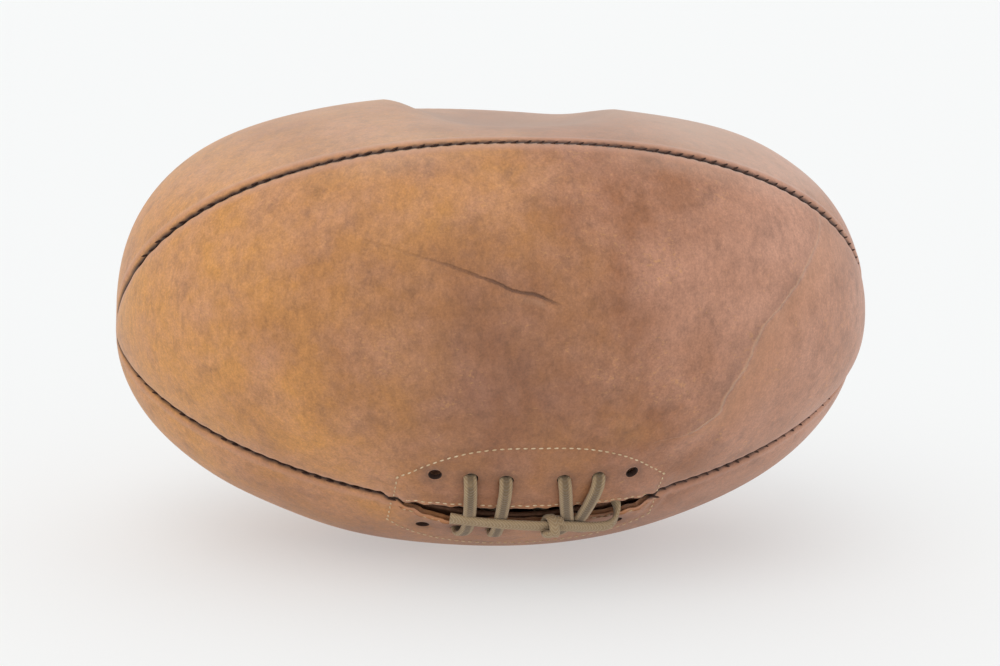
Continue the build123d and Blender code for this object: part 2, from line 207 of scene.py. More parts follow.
def to_polyline(x: np.ndarray, z: np.ndarray, points: list[tuple[float, float]]) -> tuple:
    """How far points are from a line drawn on a panel.

    Args:
        x: Places along the ball, in millimetres.
        z: Heights, in millimetres.
        points: The line's corners as (x, z), in millimetres.

    Returns:
        The signed distance, positive above or left of the line, and the share of its length.
    """
    best = np.full(x.shape, 1e9)
    signed = np.full(x.shape, 1e9)
    share = np.zeros(x.shape)
    runs = [math.dist(a, b) for a, b in zip(points, points[1:])]
    done = 0.0
    for (ax, az), (bx, bz), run in zip(points, points[1:], runs):
        dx, dz = (bx - ax) / run, (bz - az) / run
        t = np.clip((x - ax) * dx + (z - az) * dz, 0.0, run)
        px, pz = x - ax - dx * t, z - az - dz * t
        distance = np.hypot(px, pz)
        nearer = distance < best
        side = np.sign(dx * (z - az) - dz * (x - ax))
        best = np.where(nearer, distance, best)
        signed = np.where(nearer, distance * side, signed)
        share = np.where(nearer, (done + t) / sum(runs), share)
        done += run
    return signed, share


@dataclass
class SkinRelief:
    """What age, air pressure and sewing have done to the smooth skin."""

    form: CasingForm
    upper_setback: float = 19.5 * MM
    lower_setback: float = 16 * MM
    hole_x: tuple = tuple(v * MM for v in (-32.75, -20.25, -7.75, 12.75, 25.25, 37.75))
    slot_half: float = 46 * MM
    slot_rise: float = 4.0 * MM
    slot_drop: float = 7.0 * MM
    stitch_pitch: float = 4.7 * MM
    crease: tuple = (
        (-58, 126), (-50, 125), (-40, 121.5), (-28, 118), (-22, 116.5), (-16, 113.5),
        (-9, 110.5), (-3, 110.5), (6, 107),
    )
    tide: tuple = (
        (109, 134), (107, 130), (106, 123), (102, 119), (96, 112), (90, 106), (86, 100),
        (80, 95), (78, 89), (75, 81), (71, 76), (68.5, 73), (68, 67), (63, 62), (58, 58),
        (51, 55), (43, 57),
    )

    def lip(self, x: np.ndarray, reach: float) -> np.ndarray:
        """How far a lip of the slot stands back from the seam line at each station."""
        share = np.clip(1.0 - ((x - self.form.slot_x) / self.slot_half) ** 2, 0.0, 1.0)
        return reach * share**0.8

    def beside(self, x: np.ndarray) -> np.ndarray:
        """1 along the slot, falling to 0 past its ends."""
        off = np.abs(x - self.form.slot_x) - self.slot_half
        return 1.0 - step_up(off, -4 * MM, 9 * MM)

    def dent(self, points: np.ndarray) -> tuple[np.ndarray, np.ndarray]:
        """The hollow pressed into the crown.

        Args:
            points: Skin points of the top panel.

        Returns:
            How far each one sinks, and how deep in the hollow it is from 0 to 1.
        """
        x, y, z = points[..., 0] / MM, points[..., 1] / MM, points[..., 2] / MM
        aside = np.clip((x - 1.0) / 43.0, -1.0, 1.0)
        along = np.sqrt(np.clip(1.0 - aside**2, 0.0, 1.0))
        across = np.sqrt(np.clip(1.0 - (y / 79.0) ** 2, 0.0, 1.0))
        floor = 167.5 - 11.0 + 24.0 * (1.0 - along * across)
        floor = floor + 2.5 * bump_at(y + 46.0, 22.0) * bump_at(x - 6, 40.0)
        gap = (z - floor) / 4.5
        sunk = 4.5 * np.logaddexp(0.0, gap) * (1.0 - step_up(np.abs(x - 1.0), 30.0, 66.0))
        return sunk * MM, np.clip(sunk / 7.0, 0.0, 1.0)

    def sag(self, points: np.ndarray) -> np.ndarray:
        """How far the slack casing sinks away from the laced side.

        Args:
            points: Skin points.

        Returns:
            The drop at each point.
        """
        x, y, z = points[..., 0] / MM, points[..., 1] / MM, points[..., 2] / MM
        high = step_up(z, 105.0, 160.0)
        far = 3.6 * bump_at(x - 12.0, 72.0) * step_up(y, -20.0, 62.0)
        far = far + 1.8 * bump_at(x - 50.0, 26.0) * step_up(y, -35.0, 25.0)
        return high * far * MM

    def sway(self, points: np.ndarray) -> np.ndarray:
        """The slow waves that slack leather settles into.

        Args:
            points: Skin points.

        Returns:
            The rise at each point.
        """
        x, y, z = points[..., 0] / MM, points[..., 1] / MM, points[..., 2] / MM
        waves = 0.55 * np.sin(x / 23.0 + z / 41.0 + 1.3) * np.sin(y / 31.0 + z / 37.0 + 0.4)
        waves += 0.30 * np.sin(x / 12.5 - z / 19.0) * np.sin(z / 15.0 + y / 17.0 + 2.0)
        return waves * MM * (1.0 - step_up(np.abs(x), 95.0, 138.0))


@dataclass
class PanelSheet:
    """The shaped skin of one panel, before it is given its thickness."""

    gore: Gore
    points: np.ndarray
    normals: np.ndarray
    marks: dict
    from_seam: np.ndarray

    def at(self, x: float, away: float) -> tuple[np.ndarray, np.ndarray]:
        """A point of the finished skin and its outward normal.

        Args:
            x: Its place along the ball.
            away: Its distance from the laced seam.

        Returns:
            The point and the normal.
        """
        stations = self.points[:, 0, 0]
        i = int(np.clip(np.searchsorted(stations, x) - 1, 0, len(stations) - 2))
        share = (x - stations[i]) / (stations[i + 1] - stations[i])
        found = []
        for k in (i, i + 1):
            order = np.argsort(self.from_seam[k])
            rows = np.concatenate([self.points[k], self.normals[k]], axis=1)[order]
            found.append([np.interp(away, self.from_seam[k][order], row) for row in rows.T])
        mixed = np.array(found[0]) * (1.0 - share) + np.array(found[1]) * share
        return mixed[:3], mixed[3:] / np.linalg.norm(mixed[3:])


@dataclass
class PanelCutter:
    """Lays one panel's skin over the casing's form and works its relief into it."""

    form: CasingForm
    relief: SkinRelief
    stations: int = 360
    rows: int = 100
    seam_gap: float = 0.35 * MM

    def station_x(self) -> np.ndarray:
        """The stations from pole to pole, closer together towards the poles."""
        u = np.linspace(-1.0, 1.0, self.stations + 1)[1:-1]
        return self.form.half_length * (0.36 * u + 0.64 * np.sin(0.5 * np.pi * u))

    def lay(self, gore: Gore) -> PanelSheet:
        """Shape the skin of a panel.

        Args:
            gore: The panel.

        Returns:
            The sheet, its rows running from the gore's first line to its last.
        """
        form, relief = self.form, self.relief
        x = self.station_x()
        width = form.width(gore, x)
        shrink = np.clip(width / width.max() * 3.0, 0.0, 1.0)
        zig = 0.32 * MM * np.sin(2.0 * np.pi * x / relief.stitch_pitch) * shrink
        first = np.full_like(x, self.seam_gap) * shrink
        last = np.full_like(x, self.seam_gap) * shrink
        if gore in (Gore.FRONT, Gore.BACK):
            first, last = first + zig, last + zig
        else:
            first, last = first - zig, last - zig
        if gore is Gore.FRONT:
            first = first + relief.lip(x, relief.slot_rise)
        if gore is Gore.BOTTOM:
            last = last + relief.lip(x, relief.slot_drop)
        s = np.linspace(0.0, 1.0, self.rows)
        s = s - 0.62 * np.sin(2.0 * np.pi * s) / (2.0 * np.pi)
        across = first[:, None] + (width - first - last)[:, None] * s[None, :]
        points = form.surface(gore, x, across)
        normals = self.facing_out(points)
        from_first, from_last = across, width[:, None] - across
        near = np.minimum(from_first, from_last)
        marks = {"seam": np.clip(near / (20 * MM), 0.0, 1.0)}
        lift = relief.sway(points) * step_up(near, 0.0, 12 * MM)
        lift = lift + self.sewn_edges(gore, x, from_first, from_last, shrink)
        sunk, hollow = np.zeros_like(near), np.zeros_like(near)
        if gore is Gore.TOP:
            sunk, hollow = relief.dent(points)
        marks["hollow"] = hollow
        lift = self.front_marks(gore, points, lift)
        lift, marks = self.slot_marks(gore, x, from_first, from_last, lift, marks)
        points = points + normals * lift[..., None]
        points[..., 2] -= sunk + relief.sag(points)
        points[..., 2] = self.rest_on(points[..., 2])
        away = from_last if gore is Gore.BOTTOM else from_first
        return PanelSheet(gore, points, self.facing_out(points), marks, away)

    def rest_on(self, z: np.ndarray) -> np.ndarray:
        """Press the lowest part of the keel flat on the surface under it."""
        soft = 0.6 * MM
        return soft * np.logaddexp(0.0, z / soft) * (z < 6 * MM) + z * (z >= 6 * MM)

    def facing_out(self, points: np.ndarray) -> np.ndarray:
        """The outward normal at every point of a grid.

        Args:
            points: The grid, shape (n, m, 3).

        Returns:
            The unit normals, shape (n, m, 3).
        """
        along = np.gradient(points, axis=0)
        up = np.gradient(points, axis=1)
        normals = np.cross(along, up)
        size = np.linalg.norm(normals, axis=-1, keepdims=True)
        return normals / np.maximum(size, 1e-12)

    def sewn_edges(
        self,
        gore: Gore,
        x: np.ndarray,
        from_first: np.ndarray,
        from_last: np.ndarray,
        shrink: np.ndarray,
    ) -> np.ndarray:
        """The rounded edges of the seams, and the small pleats that the stitches pull.

        Args:
            gore: The panel.
            x: The stations.
            from_first: Distances along the skin from the gore's first line.
            from_last: Distances along the skin from its last line.
            shrink: A factor that dies away towards the poles.

        Returns:
            How far the skin rises at each point.
        """
        lift = np.zeros_like(from_first)
        phase = np.sin(2.0 * np.pi * x / self.relief.stitch_pitch + 0.6)[:, None]
        rolled = 0.45 if gore in (Gore.TOP, Gore.BOTTOM) else 0.12
        for away, corner in ((from_first, gore.value[0]), (from_last, gore.value[2])):
            slack = 1.0
            if corner is Corner.LOWER_FRONT:
                slack = (1.0 - self.relief.beside(x))[:, None]
            groove = -1.15 * bump_at(away, 1.15 * MM) - 0.55 * bump_at(away, 4.2 * MM)
            groove = groove + rolled * bump_at(away - 3.0 * MM, 1.5 * MM)
            groove = groove + 0.16 * phase * bump_at(away - 1.2 * MM, 1.3 * MM)
            lift = lift + groove * MM * slack * shrink[:, None]
        return lift

    def front_marks(self, gore: Gore, points: np.ndarray, lift: np.ndarray) -> np.ndarray:
        """The crease and the ridge of the old water mark on the front panel.

        Args:
            gore: The panel.
            points: The smooth skin.
            lift: How far it rises so far.

        Returns:
            The rise with both marks.
        """
        if gore is not Gore.FRONT:
            return lift
        x, z = points[..., 0] / MM, points[..., 2] / MM
        signed, share = to_polyline(x, z, list(self.relief.crease))
        strength = step_up(share, 0.05, 0.6) * (1.0 - step_up(share, 0.93, 1.0))
        lift = lift - 0.55 * MM * strength * bump_at(signed, 2.6)
        lift = lift - 0.8 * MM * step_up(share, 0.05, 0.6) * bump_at(signed - 2.0, 9.0)
        lift = lift + 0.45 * MM * step_up(share, 0.6, 0.9) * bump_at(signed + 4.0, 3.4)
        signed, share = to_polyline(x, z, list(self.relief.tide))
        fade = step_up(share, 0.05, 0.3)
        lift = lift + 0.4 * MM * fade * bump_at(signed, 3.0)
        lift = lift - 0.4 * MM * fade * bump_at(signed - 5.0, 4.5)
        return lift

    def slot_marks(
        self,
        gore: Gore,
        x: np.ndarray,
        from_first: np.ndarray,
        from_last: np.ndarray,
        lift: np.ndarray,
        marks: dict,
    ) -> tuple[np.ndarray, dict]:
        """The lips that the lace pulls up, their worn edges, and the dark rims of the holes.

        Args:
            gore: The panel.
            x: The stations.
            from_first: Distances along the skin from the gore's first line.
            from_last: Distances along the skin from its last line.
            lift: How far the skin rises so far.
            marks: The marks so far.

        Returns:
            The rise, and the marks with "worn" and "soil".
        """
        relief = self.relief
        flat = np.zeros_like(lift)
        marks["worn"], marks["soil"] = flat, flat
        if gore not in (Gore.FRONT, Gore.BOTTOM):
            return lift, marks
        upper = gore is Gore.FRONT
        away = from_first if upper else from_last
        setback = relief.upper_setback if upper else relief.lower_setback
        beside = relief.beside(x)[:, None]
        edge = away - relief.lip(x, relief.slot_rise if upper else relief.slot_drop)[:, None]
        s = (x[:, None] - relief.form.slot_x) / relief.slot_half
        lift = lift + (1.4 if upper else 1.0) * MM * beside * bump_at(away - 7 * MM, 13 * MM)
        curl = bump_at(s + 0.62, 0.26) + 1.1 * bump_at(s - 0.86, 0.24)
        lift = lift + beside * curl * (0.2 if upper else 1.7) * MM * bump_at(edge, 5 * MM)
        ripple = np.sin(x[:, None] / MM * 0.9 + 0.5 * np.sin(x[:, None] / MM * 0.31))
        lift = lift + 0.22 * MM * ripple * beside * bump_at(edge, 4 * MM)
        pucker = bump_at(np.abs(s) - 1.03, 0.16) * bump_at(away, 11 * MM)
        lift = lift + 0.45 * MM * pucker * np.sin(x[:, None] / MM * 1.05 + away / MM * 0.35)
        marks["worn"] = beside * bump_at(edge, (2.2 if upper else 4.5) * MM)
        for hole in relief.hole_x:
            off = np.hypot(x[:, None] - hole, away - setback)
            lift = lift - 0.55 * MM * bump_at(off, 3.4 * MM)
            marks["soil"] = marks["soil"] + bump_at(off, 4.2 * MM)
        return lift, marks


# --- Meshes ---
def new_piece(name: str, points: np.ndarray, faces: list, smooth: bool = True) -> bpy.types.Object:
    """Make a mesh object that stands at the origin.

    Args:
        name: The piece's name.
        points: Its vertices, shape (n, 3).
        faces: Its faces, as tuples of vertex numbers.
        smooth: Whether its faces are shaded smooth.

    Returns:
        The object, linked to the scene.
    """
    mesh = bpy.data.meshes.new(name)
    mesh.from_pydata(points.tolist(), [], faces)
    mesh.polygons.foreach_set("use_smooth", [smooth] * len(mesh.polygons))
    mesh.update()
    piece = bpy.data.objects.new(name, mesh)
    bpy.context.scene.collection.objects.link(piece)
    return piece


def grid_faces(rows: int, columns: int, start: int = 0, closed: bool = False) -> list:
    """The quads of a grid of vertices numbered row by row.

    Args:
        rows: How many rows of vertices.
        columns: How many vertices in a row.
        start: The first vertex's number.
        closed: Whether each row joins its own start.

    Returns:
        The faces.
    """
    faces = []
    span = columns if closed else columns - 1
    for i in range(rows - 1):
        for j in range(span):
            a, b = start + i * columns + j, start + i * columns + (j + 1) % columns
            faces.append((a, a + columns, b + columns, b))
    return faces


def set_marks(mesh: bpy.types.Mesh, marks: dict) -> None:
    """Store each mark as a number on every vertex.

    Args:
        mesh: The mesh.
        marks: The numbers by the mark's name, in the order of the vertices.
    """
    for name, values in marks.items():
        layer = mesh.attributes.new(name, "FLOAT", "POINT")
        layer.data.foreach_set("value", np.asarray(values, dtype=np.float32).ravel())


def baked(piece: bpy.types.Object, name: str) -> bpy.types.Object:
    """Replace an object by the plain mesh that its modifiers make.

    Args:
        piece: The object with modifiers.
        name: The new object's name.

    Returns:
        The new object.
    """
    graph = bpy.context.evaluated_depsgraph_get()
    mesh = bpy.data.meshes.new_from_object(piece.evaluated_get(graph), depsgraph=graph)
    mesh.name = name
    for modifier in list(piece.modifiers):
        piece.modifiers.remove(modifier)
    old = piece.data
    bpy.data.objects.remove(piece)
    bpy.data.batch_remove([old])
    fresh = bpy.data.objects.new(name, mesh)
    bpy.context.scene.collection.objects.link(fresh)
    return fresh


def face_outwards(mesh: bpy.types.Mesh) -> None:
    """Turn a closed mesh the right way out if its volume comes out below nought.

    Args:
        mesh: The closed mesh.
    """
    mesh.calc_loop_triangles()
    count = len(mesh.loop_triangles)
    corners = np.empty(count * 3, dtype=np.int32)
    mesh.loop_triangles.foreach_get("vertices", corners)
    points = np.empty(len(mesh.vertices) * 3)
    mesh.vertices.foreach_get("co", points)
    a, b, c = points.reshape(-1, 3)[corners.reshape(-1, 3)].transpose(1, 0, 2)
    if np.einsum("ij,ij->i", a, np.cross(b, c)).sum() < 0:
        mesh.flip_normals()


def put_in_place(
    piece: bpy.types.Object, node: str, finish: bpy.types.Material | None = None
) -> None:
    """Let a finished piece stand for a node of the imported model.

    Args:
        piece: The piece.
        node: The node that it replaces.
        finish: Its material, unless it has one.
    """
    if finish is not None:
        piece.data.materials.clear()
        piece.data.materials.append(finish)
    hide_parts(node)
    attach(piece, "root")
    log.info("%s: %d faces", piece.name, len(piece.data.polygons))


# --- Shaders ---
@dataclass
class NodeBench:
    """Short ways to add shader nodes to a material."""

    material: bpy.types.Material

    @classmethod
    def start(cls, name: str) -> "NodeBench":
        """Make an empty node material.

        Args:
            name: The material's name.

        Returns:
            The bench for its nodes.
        """
        material = bpy.data.materials.new(name)
        material.use_nodes = True
        material.node_tree.nodes.clear()
        return cls(material)

    def add(self, kind: str, inputs: dict | None = None, **settings) -> bpy.types.Node:
        """Add a node.

        Args:
            kind: The node's type.
            inputs: Its inputs by name or number: a socket is linked, and a value is set.
            **settings: Its other settings.

        Returns:
            The node.
        """
        node = self.material.node_tree.nodes.new(kind)
        for name, value in settings.items():
            setattr(node, name, value)
        for name, value in (inputs or {}).items():
            if isinstance(value, Socket):
                self.material.node_tree.links.new(value, node.inputs[name])
            else:
                node.inputs[name].default_value = value
        return node

    def place(self) -> Socket:
        """The object coordinates."""
        return self.add("ShaderNodeTexCoord").outputs["Object"]

    def mapped(self, scale: tuple, turn: tuple = (0.0, 0.0, 0.0)) -> Socket:
        """The object coordinates, stretched and turned."""
        inputs = {"Vector": self.place(), "Scale": scale, "Rotation": turn}
        return self.add("ShaderNodeMapping", inputs).outputs["Vector"]

    def noise(
        self, vector: Socket, scale: float, detail: float = 4.0, rough: float = 0.6
    ) -> Socket:
        """A noise value over a vector."""
        inputs = {"Vector": vector, "Scale": scale, "Detail": detail, "Roughness": rough}
        return self.add("ShaderNodeTexNoise", inputs).outputs["Fac"]

    def ramp(self, value: Socket, stops: list) -> Socket:
        """A colour ramp.

        Args:
            value: What drives it.
            stops: Its (position, colour) pairs, where a colour may be one number for a grey.

        Returns:
            Its colour.
        """
        node = self.add("ShaderNodeValToRGB", {"Fac": value})
        elements = node.color_ramp.elements
        while len(elements) < len(stops):
            elements.new(0.5)
        for element, (position, colour) in zip(elements, stops):
            if isinstance(colour, (int, float)):
                colour = (colour, colour, colour)
            element.position = position
            element.color = (*colour[:3], 1.0)
        return node.outputs["Color"]

    def blend(
        self,
        factor: Socket | float,
        first: Socket | tuple,
        second: Socket | tuple,
        mode: str = "MIX",
    ) -> Socket:
        """Mix two colours.

        Args:
            factor: How much of the second, as a socket or a number.
            first: The first colour, as a socket or a triple.
            second: The second colour, as a socket or a triple.
            mode: How they mix.

        Returns:
            The mixed colour.
        """
        node = self.add("ShaderNodeMix", data_type="RGBA", blend_type=mode)
        for number, value in ((0, factor), (6, first), (7, second)):
            if isinstance(value, Socket):
                self.material.node_tree.links.new(value, node.inputs[number])
            elif number == 0:
                node.inputs[number].default_value = value
            else:
                node.inputs[number].default_value = (*value, 1.0)
        return node.outputs[2]

    def sum(
        self,
        first: Socket | float,
        second: Socket | float,
        operation: str = "ADD",
        clamp: bool = False,
    ) -> Socket:
        """Work out one number from two.

        Args:
            first: A socket or a number.
            second: A socket or a number.
            operation: What to do with them.
            clamp: Whether the result stays from 0 to 1.

        Returns:
            The result's socket.
        """
        inputs = {0: first, 1: second}
        node = self.add("ShaderNodeMath", inputs, operation=operation, use_clamp=clamp)
        return node.outputs[0]

    def mark(self, name: str) -> Socket:
        """A number stored on the mesh."""
        return self.add("ShaderNodeAttribute", attribute_name=name).outputs["Fac"]

    def relief(
        self,
        height: Socket,
        distance: float,
        strength: float = 1.0,
        normal: Socket | None = None,
    ) -> Socket:
        """A bump.

        Args:
            height: The height's socket.
            distance: How deep it is, in metres.
            strength: How much of it shows.
            normal: A bump under this one.

        Returns:
            The normal's socket.
        """
        inputs = {"Height": height, "Distance": distance, "Strength": strength}
        if normal is not None:
            inputs["Normal"] = normal
        return self.add("ShaderNodeBump", inputs).outputs["Normal"]

    def finish(self, **sockets) -> bpy.types.Material:
        """End the material in one shader.

        Args:
            **sockets: The shader's inputs, with _ for a space in a name.

        Returns:
            The material.
        """
        inputs = {name.replace("_", " "): value for name, value in sockets.items()}
        shader = self.add("ShaderNodeBsdfPrincipled", inputs)
        self.add("ShaderNodeOutputMaterial", {"Surface": shader.outputs[0]})
        return self.material


@dataclass(frozen=True)
class DrawnLine:
    """A line drawn on the front panel, as (along, across) points in millimetres."""

    points: tuple
    low: float
    high: float

    def offset(
        self, bench: NodeBench, along: Socket, across: Socket, wander: float
    ) -> Socket:
        """How far each point of the surface is from the line.

        Args:
            bench: The material's bench.
            along: The coordinate that the line runs along.
            across: The coordinate that it has a place in.
            wander: How far the line strays from its points, in millimetres.

        Returns:
            The signed distance across the line, in millimetres.
        """
        span = self.high - self.low
        start = bench.sum(along, self.low * MM, "SUBTRACT")
        curve = bench.add(
            "ShaderNodeFloatCurve", {"Value": bench.sum(start, 1.0 / (span * MM), "MULTIPLY")}
        )
        points = curve.mapping.curves[0].points
        places = sorted(((a - self.low) / span, (b - self.low) / span) for a, b in self.points)
        while len(points) < len(places):
            points.new(0.5, 0.5)
        for point, place in zip(points, places):
            point.location = place
        curve.mapping.update()
        there = bench.sum(bench.sum(curve.outputs[0], span, "MULTIPLY"), self.low, "ADD")
        off = bench.sum(bench.sum(across, 1.0 / MM, "MULTIPLY"), there, "SUBTRACT")
        stray = bench.sum(bench.noise(bench.place(), 240.0, 3.0), 0.5, "SUBTRACT")
        return bench.sum(off, bench.sum(stray, 2.0 * wander, "MULTIPLY"), "ADD")


@dataclass(frozen=True)
class AgedLeather:
    """Tanned leather that has dried, rubbed and darkened over many years, with painted sheen,
    shade and highlights on its relief.
    """

    name: str = "aged_leather"
    deep: tuple = (0.105, 0.045, 0.026)
    brown: tuple = (0.315, 0.125, 0.053)
    umber: tuple = (0.190, 0.085, 0.052)
    tan: tuple = (0.600, 0.270, 0.072)
    rose: tuple = (0.560, 0.285, 0.190)
    fleck: tuple = (0.680, 0.340, 0.120)
    # The pale colour of dust and of the painted sheen on upward faces.
    dust_and_sheen: tuple = (0.640, 0.490, 0.390)
    black: tuple = (0.040, 0.018, 0.013)
    crease: DrawnLine = DrawnLine(
        (
            (-70, 128), (-58, 126), (-40, 121.5), (-28, 118), (-16, 113.8), (-9, 111),
            (-3, 110), (6, 106.5), (20, 102),
        ),
        -80.0,
        150.0,
    )
    tide: DrawnLine = DrawnLine(
        (
            (40, 42), (56, 44), (56.8, 50), (59, 58), (62.5, 63), (66, 67), (71.5, 68.5),
            (76, 71), (83, 75.5), (90, 78), (96, 81), (102, 87), (108, 93), (114, 98.5),
            (119, 102), (124, 106), (131, 108.5),
        ),
        20.0,
        150.0,
    )

    def make(self) -> bpy.types.Material:
        """Build the material.

        Returns:
            The material.
        """
        bench = NodeBench.start(self.name)
        place = bench.place()
        axes = bench.add("ShaderNodeSeparateXYZ", {"Vector": place})
        x = axes.outputs["X"]
        broad = bench.noise(place, 14.0, 3.0)
        cloud = bench.noise(place, 46.0, 5.0, 0.65)
        grain = bench.noise(bench.mapped((1.0, 1.0, 0.55)), 420.0, 6.0, 0.7)
        fibre = bench.noise(bench.mapped((0.7, 1.0, 1.2), (0.0, 0.5, 0.0)), 620.0, 5.0, 0.75)
        fine = bench.noise(place, 1250.0, 3.0, 0.7)
        ends = bench.sum(bench.sum(x, -3.4, "MULTIPLY"), broad, "ADD")
        hue = bench.ramp(ends, [(0.10, self.rose), (0.46, self.brown), (0.90, self.tan)])
        hue = bench.blend(bench.ramp(cloud, [(0.40, 0.0), (0.74, 0.6)]), hue, self.rose)
        dark = bench.ramp(bench.noise(place, 95.0, 5.0, 0.7), [(0.50, 0.0), (0.76, 0.42)])
        hue = bench.blend(dark, hue, self.deep)
        worn_at = {0: place, 1: (-0.016, -0.092, 0.082)}
        away = bench.add("ShaderNodeVectorMath", worn_at, operation="DISTANCE").outputs["Value"]
        shade = bench.ramp(bench.sum(away, 12.0, "MULTIPLY"), [(0.15, 0.40), (0.78, 0.0)])
        hue = bench.blend(shade, hue, self.umber)
        mottle = bench.ramp(grain, [(0.34, 0.76), (0.52, 1.0), (0.70, 1.2)])
        hue = bench.blend(0.7, hue, mottle, "MULTIPLY")
        hue = bench.blend(1.0, hue, bench.ramp(fine, [(0.3, 0.84), (0.7, 1.16)]), "MULTIPLY")
        fleck = bench.sum(fibre, bench.ramp(cloud, [(0.3, 0.62), (0.7, 1.0)]), "MULTIPLY")
        hue = bench.blend(bench.ramp(fleck, [(0.50, 0.0), (0.60, 0.38)]), hue, self.fleck)
        hue = self.scratched(bench, hue)
        # Pale dust with painted sheen on the faces that look up.
        hue = self.dust_and_painted_sheen(bench, hue, x, broad)
        lines = self.lines(bench, axes)
        hue = self.marked(bench, hue, lines)
        rough = bench.ramp(bench.sum(cloud, grain, "MULTIPLY"), [(0.12, 0.50), (0.42, 0.68)])
        normal = bench.relief(bench.noise(place, 900.0, 4.0, 0.7), 0.00016, 0.55)
        normal = bench.relief(grain, 0.0003, 0.5, normal)
        normal = bench.relief(cloud, 0.0012, 0.22, normal)
        normal = bench.relief(lines["height"], 0.0011, 0.8, normal)
        return bench.finish(
            Base_Color=hue,
            Roughness=rough,
            Normal=normal,
            Specular_IOR_Level=0.42,
            Sheen_Weight=0.12,
            Sheen_Roughness=0.5,
        )

    def lines(self, bench: NodeBench, axes: bpy.types.Node) -> dict:
        """Where the crease and the edge of the old water mark lie, how they stand up, and where
        painted shade and highlights go beside them.

        Args:
            bench: The material's bench.
            axes: The node that splits the object coordinates.

        Returns:
            The masks by name, and the height of both.
        """
        x, y, z = (axes.outputs[name] for name in "XYZ")
        front = bench.sum(y, -0.02, "LESS_THAN")
        off = self.crease.offset(bench, x, z, 0.6)
        run = bench.ramp(
            bench.sum(bench.sum(x, 0.08, "ADD"), 1.0 / 0.1, "MULTIPLY"),
            [(0.14, 0.0), (0.38, 0.22), (0.62, 0.75), (0.80, 1.0), (0.88, 0.0)],
        )
        run = bench.sum(run, front, "MULTIPLY")
        close = bench.add("ShaderNodeMath", {0: off}, operation="ABSOLUTE").outputs[0]
        # fold: the crease; its dark colour is painted shade in it.
        fold = bench.sum(bench.ramp(close, [(0.1, 1.0), (0.7, 0.0)]), run, "MULTIPLY")
        # lip: the raised lip below the crease; its light colour is a painted highlight.
        under = bench.ramp(bench.sum(off, -0.2, "MULTIPLY"), [(0.2, 0.0), (0.4, 1.0), (0.85, 0.0)])
        raised = bench.ramp(bench.sum(run, 1.0, "MULTIPLY"), [(0.8, 0.0), (1.0, 0.5)])
        lip = bench.sum(under, raised, "MULTIPLY")
        edge = self.tide.offset(bench, z, x, 1.3)
        reach = bench.ramp(
            bench.sum(bench.sum(z, 0.05, "SUBTRACT"), 10.0, "MULTIPLY"),
            [(0.05, 0.0), (0.10, 1.0), (0.62, 0.85), (0.84, 0.25), (0.92, 0.0)],
        )
        reach = bench.sum(reach, front, "MULTIPLY")
        near = bench.add("ShaderNodeMath", {0: edge}, operation="ABSOLUTE").outputs[0]
        # ridge: the water mark's raised edge; its light colour is a painted highlight.
        ridge = bench.sum(bench.ramp(near, [(0.2, 1.0), (0.99, 0.0)]), reach, "MULTIPLY")
        before, past = bench.sum(edge, -0.1, "MULTIPLY"), bench.sum(edge, 0.04, "MULTIPLY")
        # left: painted shadow beside the ridge; right: the stain's own more orange tone.
        left = bench.ramp(before, [(0.05, 0.0), (0.14, 1.0), (0.9, 0.0)])
        right = bench.ramp(past, [(0.03, 0.0), (0.10, 1.0), (1.0, 0.0)])
        rise = bench.sum(ridge, 0.35, "MULTIPLY")
        return {
            "fold": fold,
            "lip": lip,
            "ridge": ridge,
            "left": bench.sum(left, reach, "MULTIPLY"),
            "right": bench.sum(right, reach, "MULTIPLY"),
            "height": bench.sum(bench.sum(rise, lip, "ADD"), fold, "SUBTRACT"),
        }

    def scratched(self, bench: NodeBench, hue: Socket) -> Socket:
        """Add the short light scratches and specks of handling.

        Args:
            bench: The material's bench.
            hue: The colour so far.

        Returns:
            The colour with the scratches.
        """
        rubbed = bench.ramp(bench.noise(bench.place(), 33.0, 2.0), [(0.50, 0.0), (0.75, 0.40)])
        for turn, scale in (
            ((0.0, 0.45, 0.2), (60.0, 120.0, 300.0)),
            ((0.3, -0.9, 0.0), (70.0, 130.0, 340.0)),
        ):
            cells = bench.add(
                "ShaderNodeTexVoronoi",
                {"Vector": bench.mapped(scale, turn), "Scale": 1.0, "Randomness": 1.0},
                feature="F1",
            )
            line = bench.ramp(cells.outputs["Distance"], [(0.02, 1.0), (0.10, 0.0)])
            hue = bench.blend(bench.sum(line, rubbed, "MULTIPLY"), hue, self.fleck)
        return hue

    def dust_and_painted_sheen(
        self, bench: NodeBench, hue: Socket, x: Socket, broad: Socket
    ) -> Socket:
        """Add the pale dust on the faces that look up, with painted sheen: the upward faces are
        painted paler, as light from above would make them.

        Args:
            bench: The material's bench.
            hue: The colour so far.
            x: The place along the ball.
            broad: A slow noise, which makes the pale dust and painted sheen patchy.

        Returns:
            The colour with the pale dust and painted sheen.
        """
        normal = bench.add("ShaderNodeNewGeometry").outputs["Normal"]
        facing = bench.add("ShaderNodeSeparateXYZ", {"Vector": normal}).outputs["Z"]
        # Painted sheen: paler where the surface faces up, more towards +X, and less near the
        # crown's front rim.
        lit = bench.ramp(facing, [(0.55, 0.0), (0.98, 0.62)])
        from_left = bench.sum(bench.sum(x, 3.2, "MULTIPLY"), 0.5)
        side = bench.ramp(from_left, [(0.1, 0.42), (0.9, 1.0)])
        patchy = bench.ramp(broad, [(0.30, 0.6), (0.65, 1.0)])
        lit = bench.sum(bench.sum(lit, patchy, "MULTIPLY"), side, "MULTIPLY")
        rim = {0: bench.place(), 1: (0.016, -0.066, 0.150)}
        away = bench.add("ShaderNodeVectorMath", rim, operation="DISTANCE").outputs["Value"]
        kept = bench.ramp(bench.sum(away, 12.0, "MULTIPLY"), [(0.1, 0.45), (0.65, 1.0)])
        lit = bench.sum(lit, kept, "MULTIPLY")
        return bench.blend(lit, hue, self.dust_and_sheen)

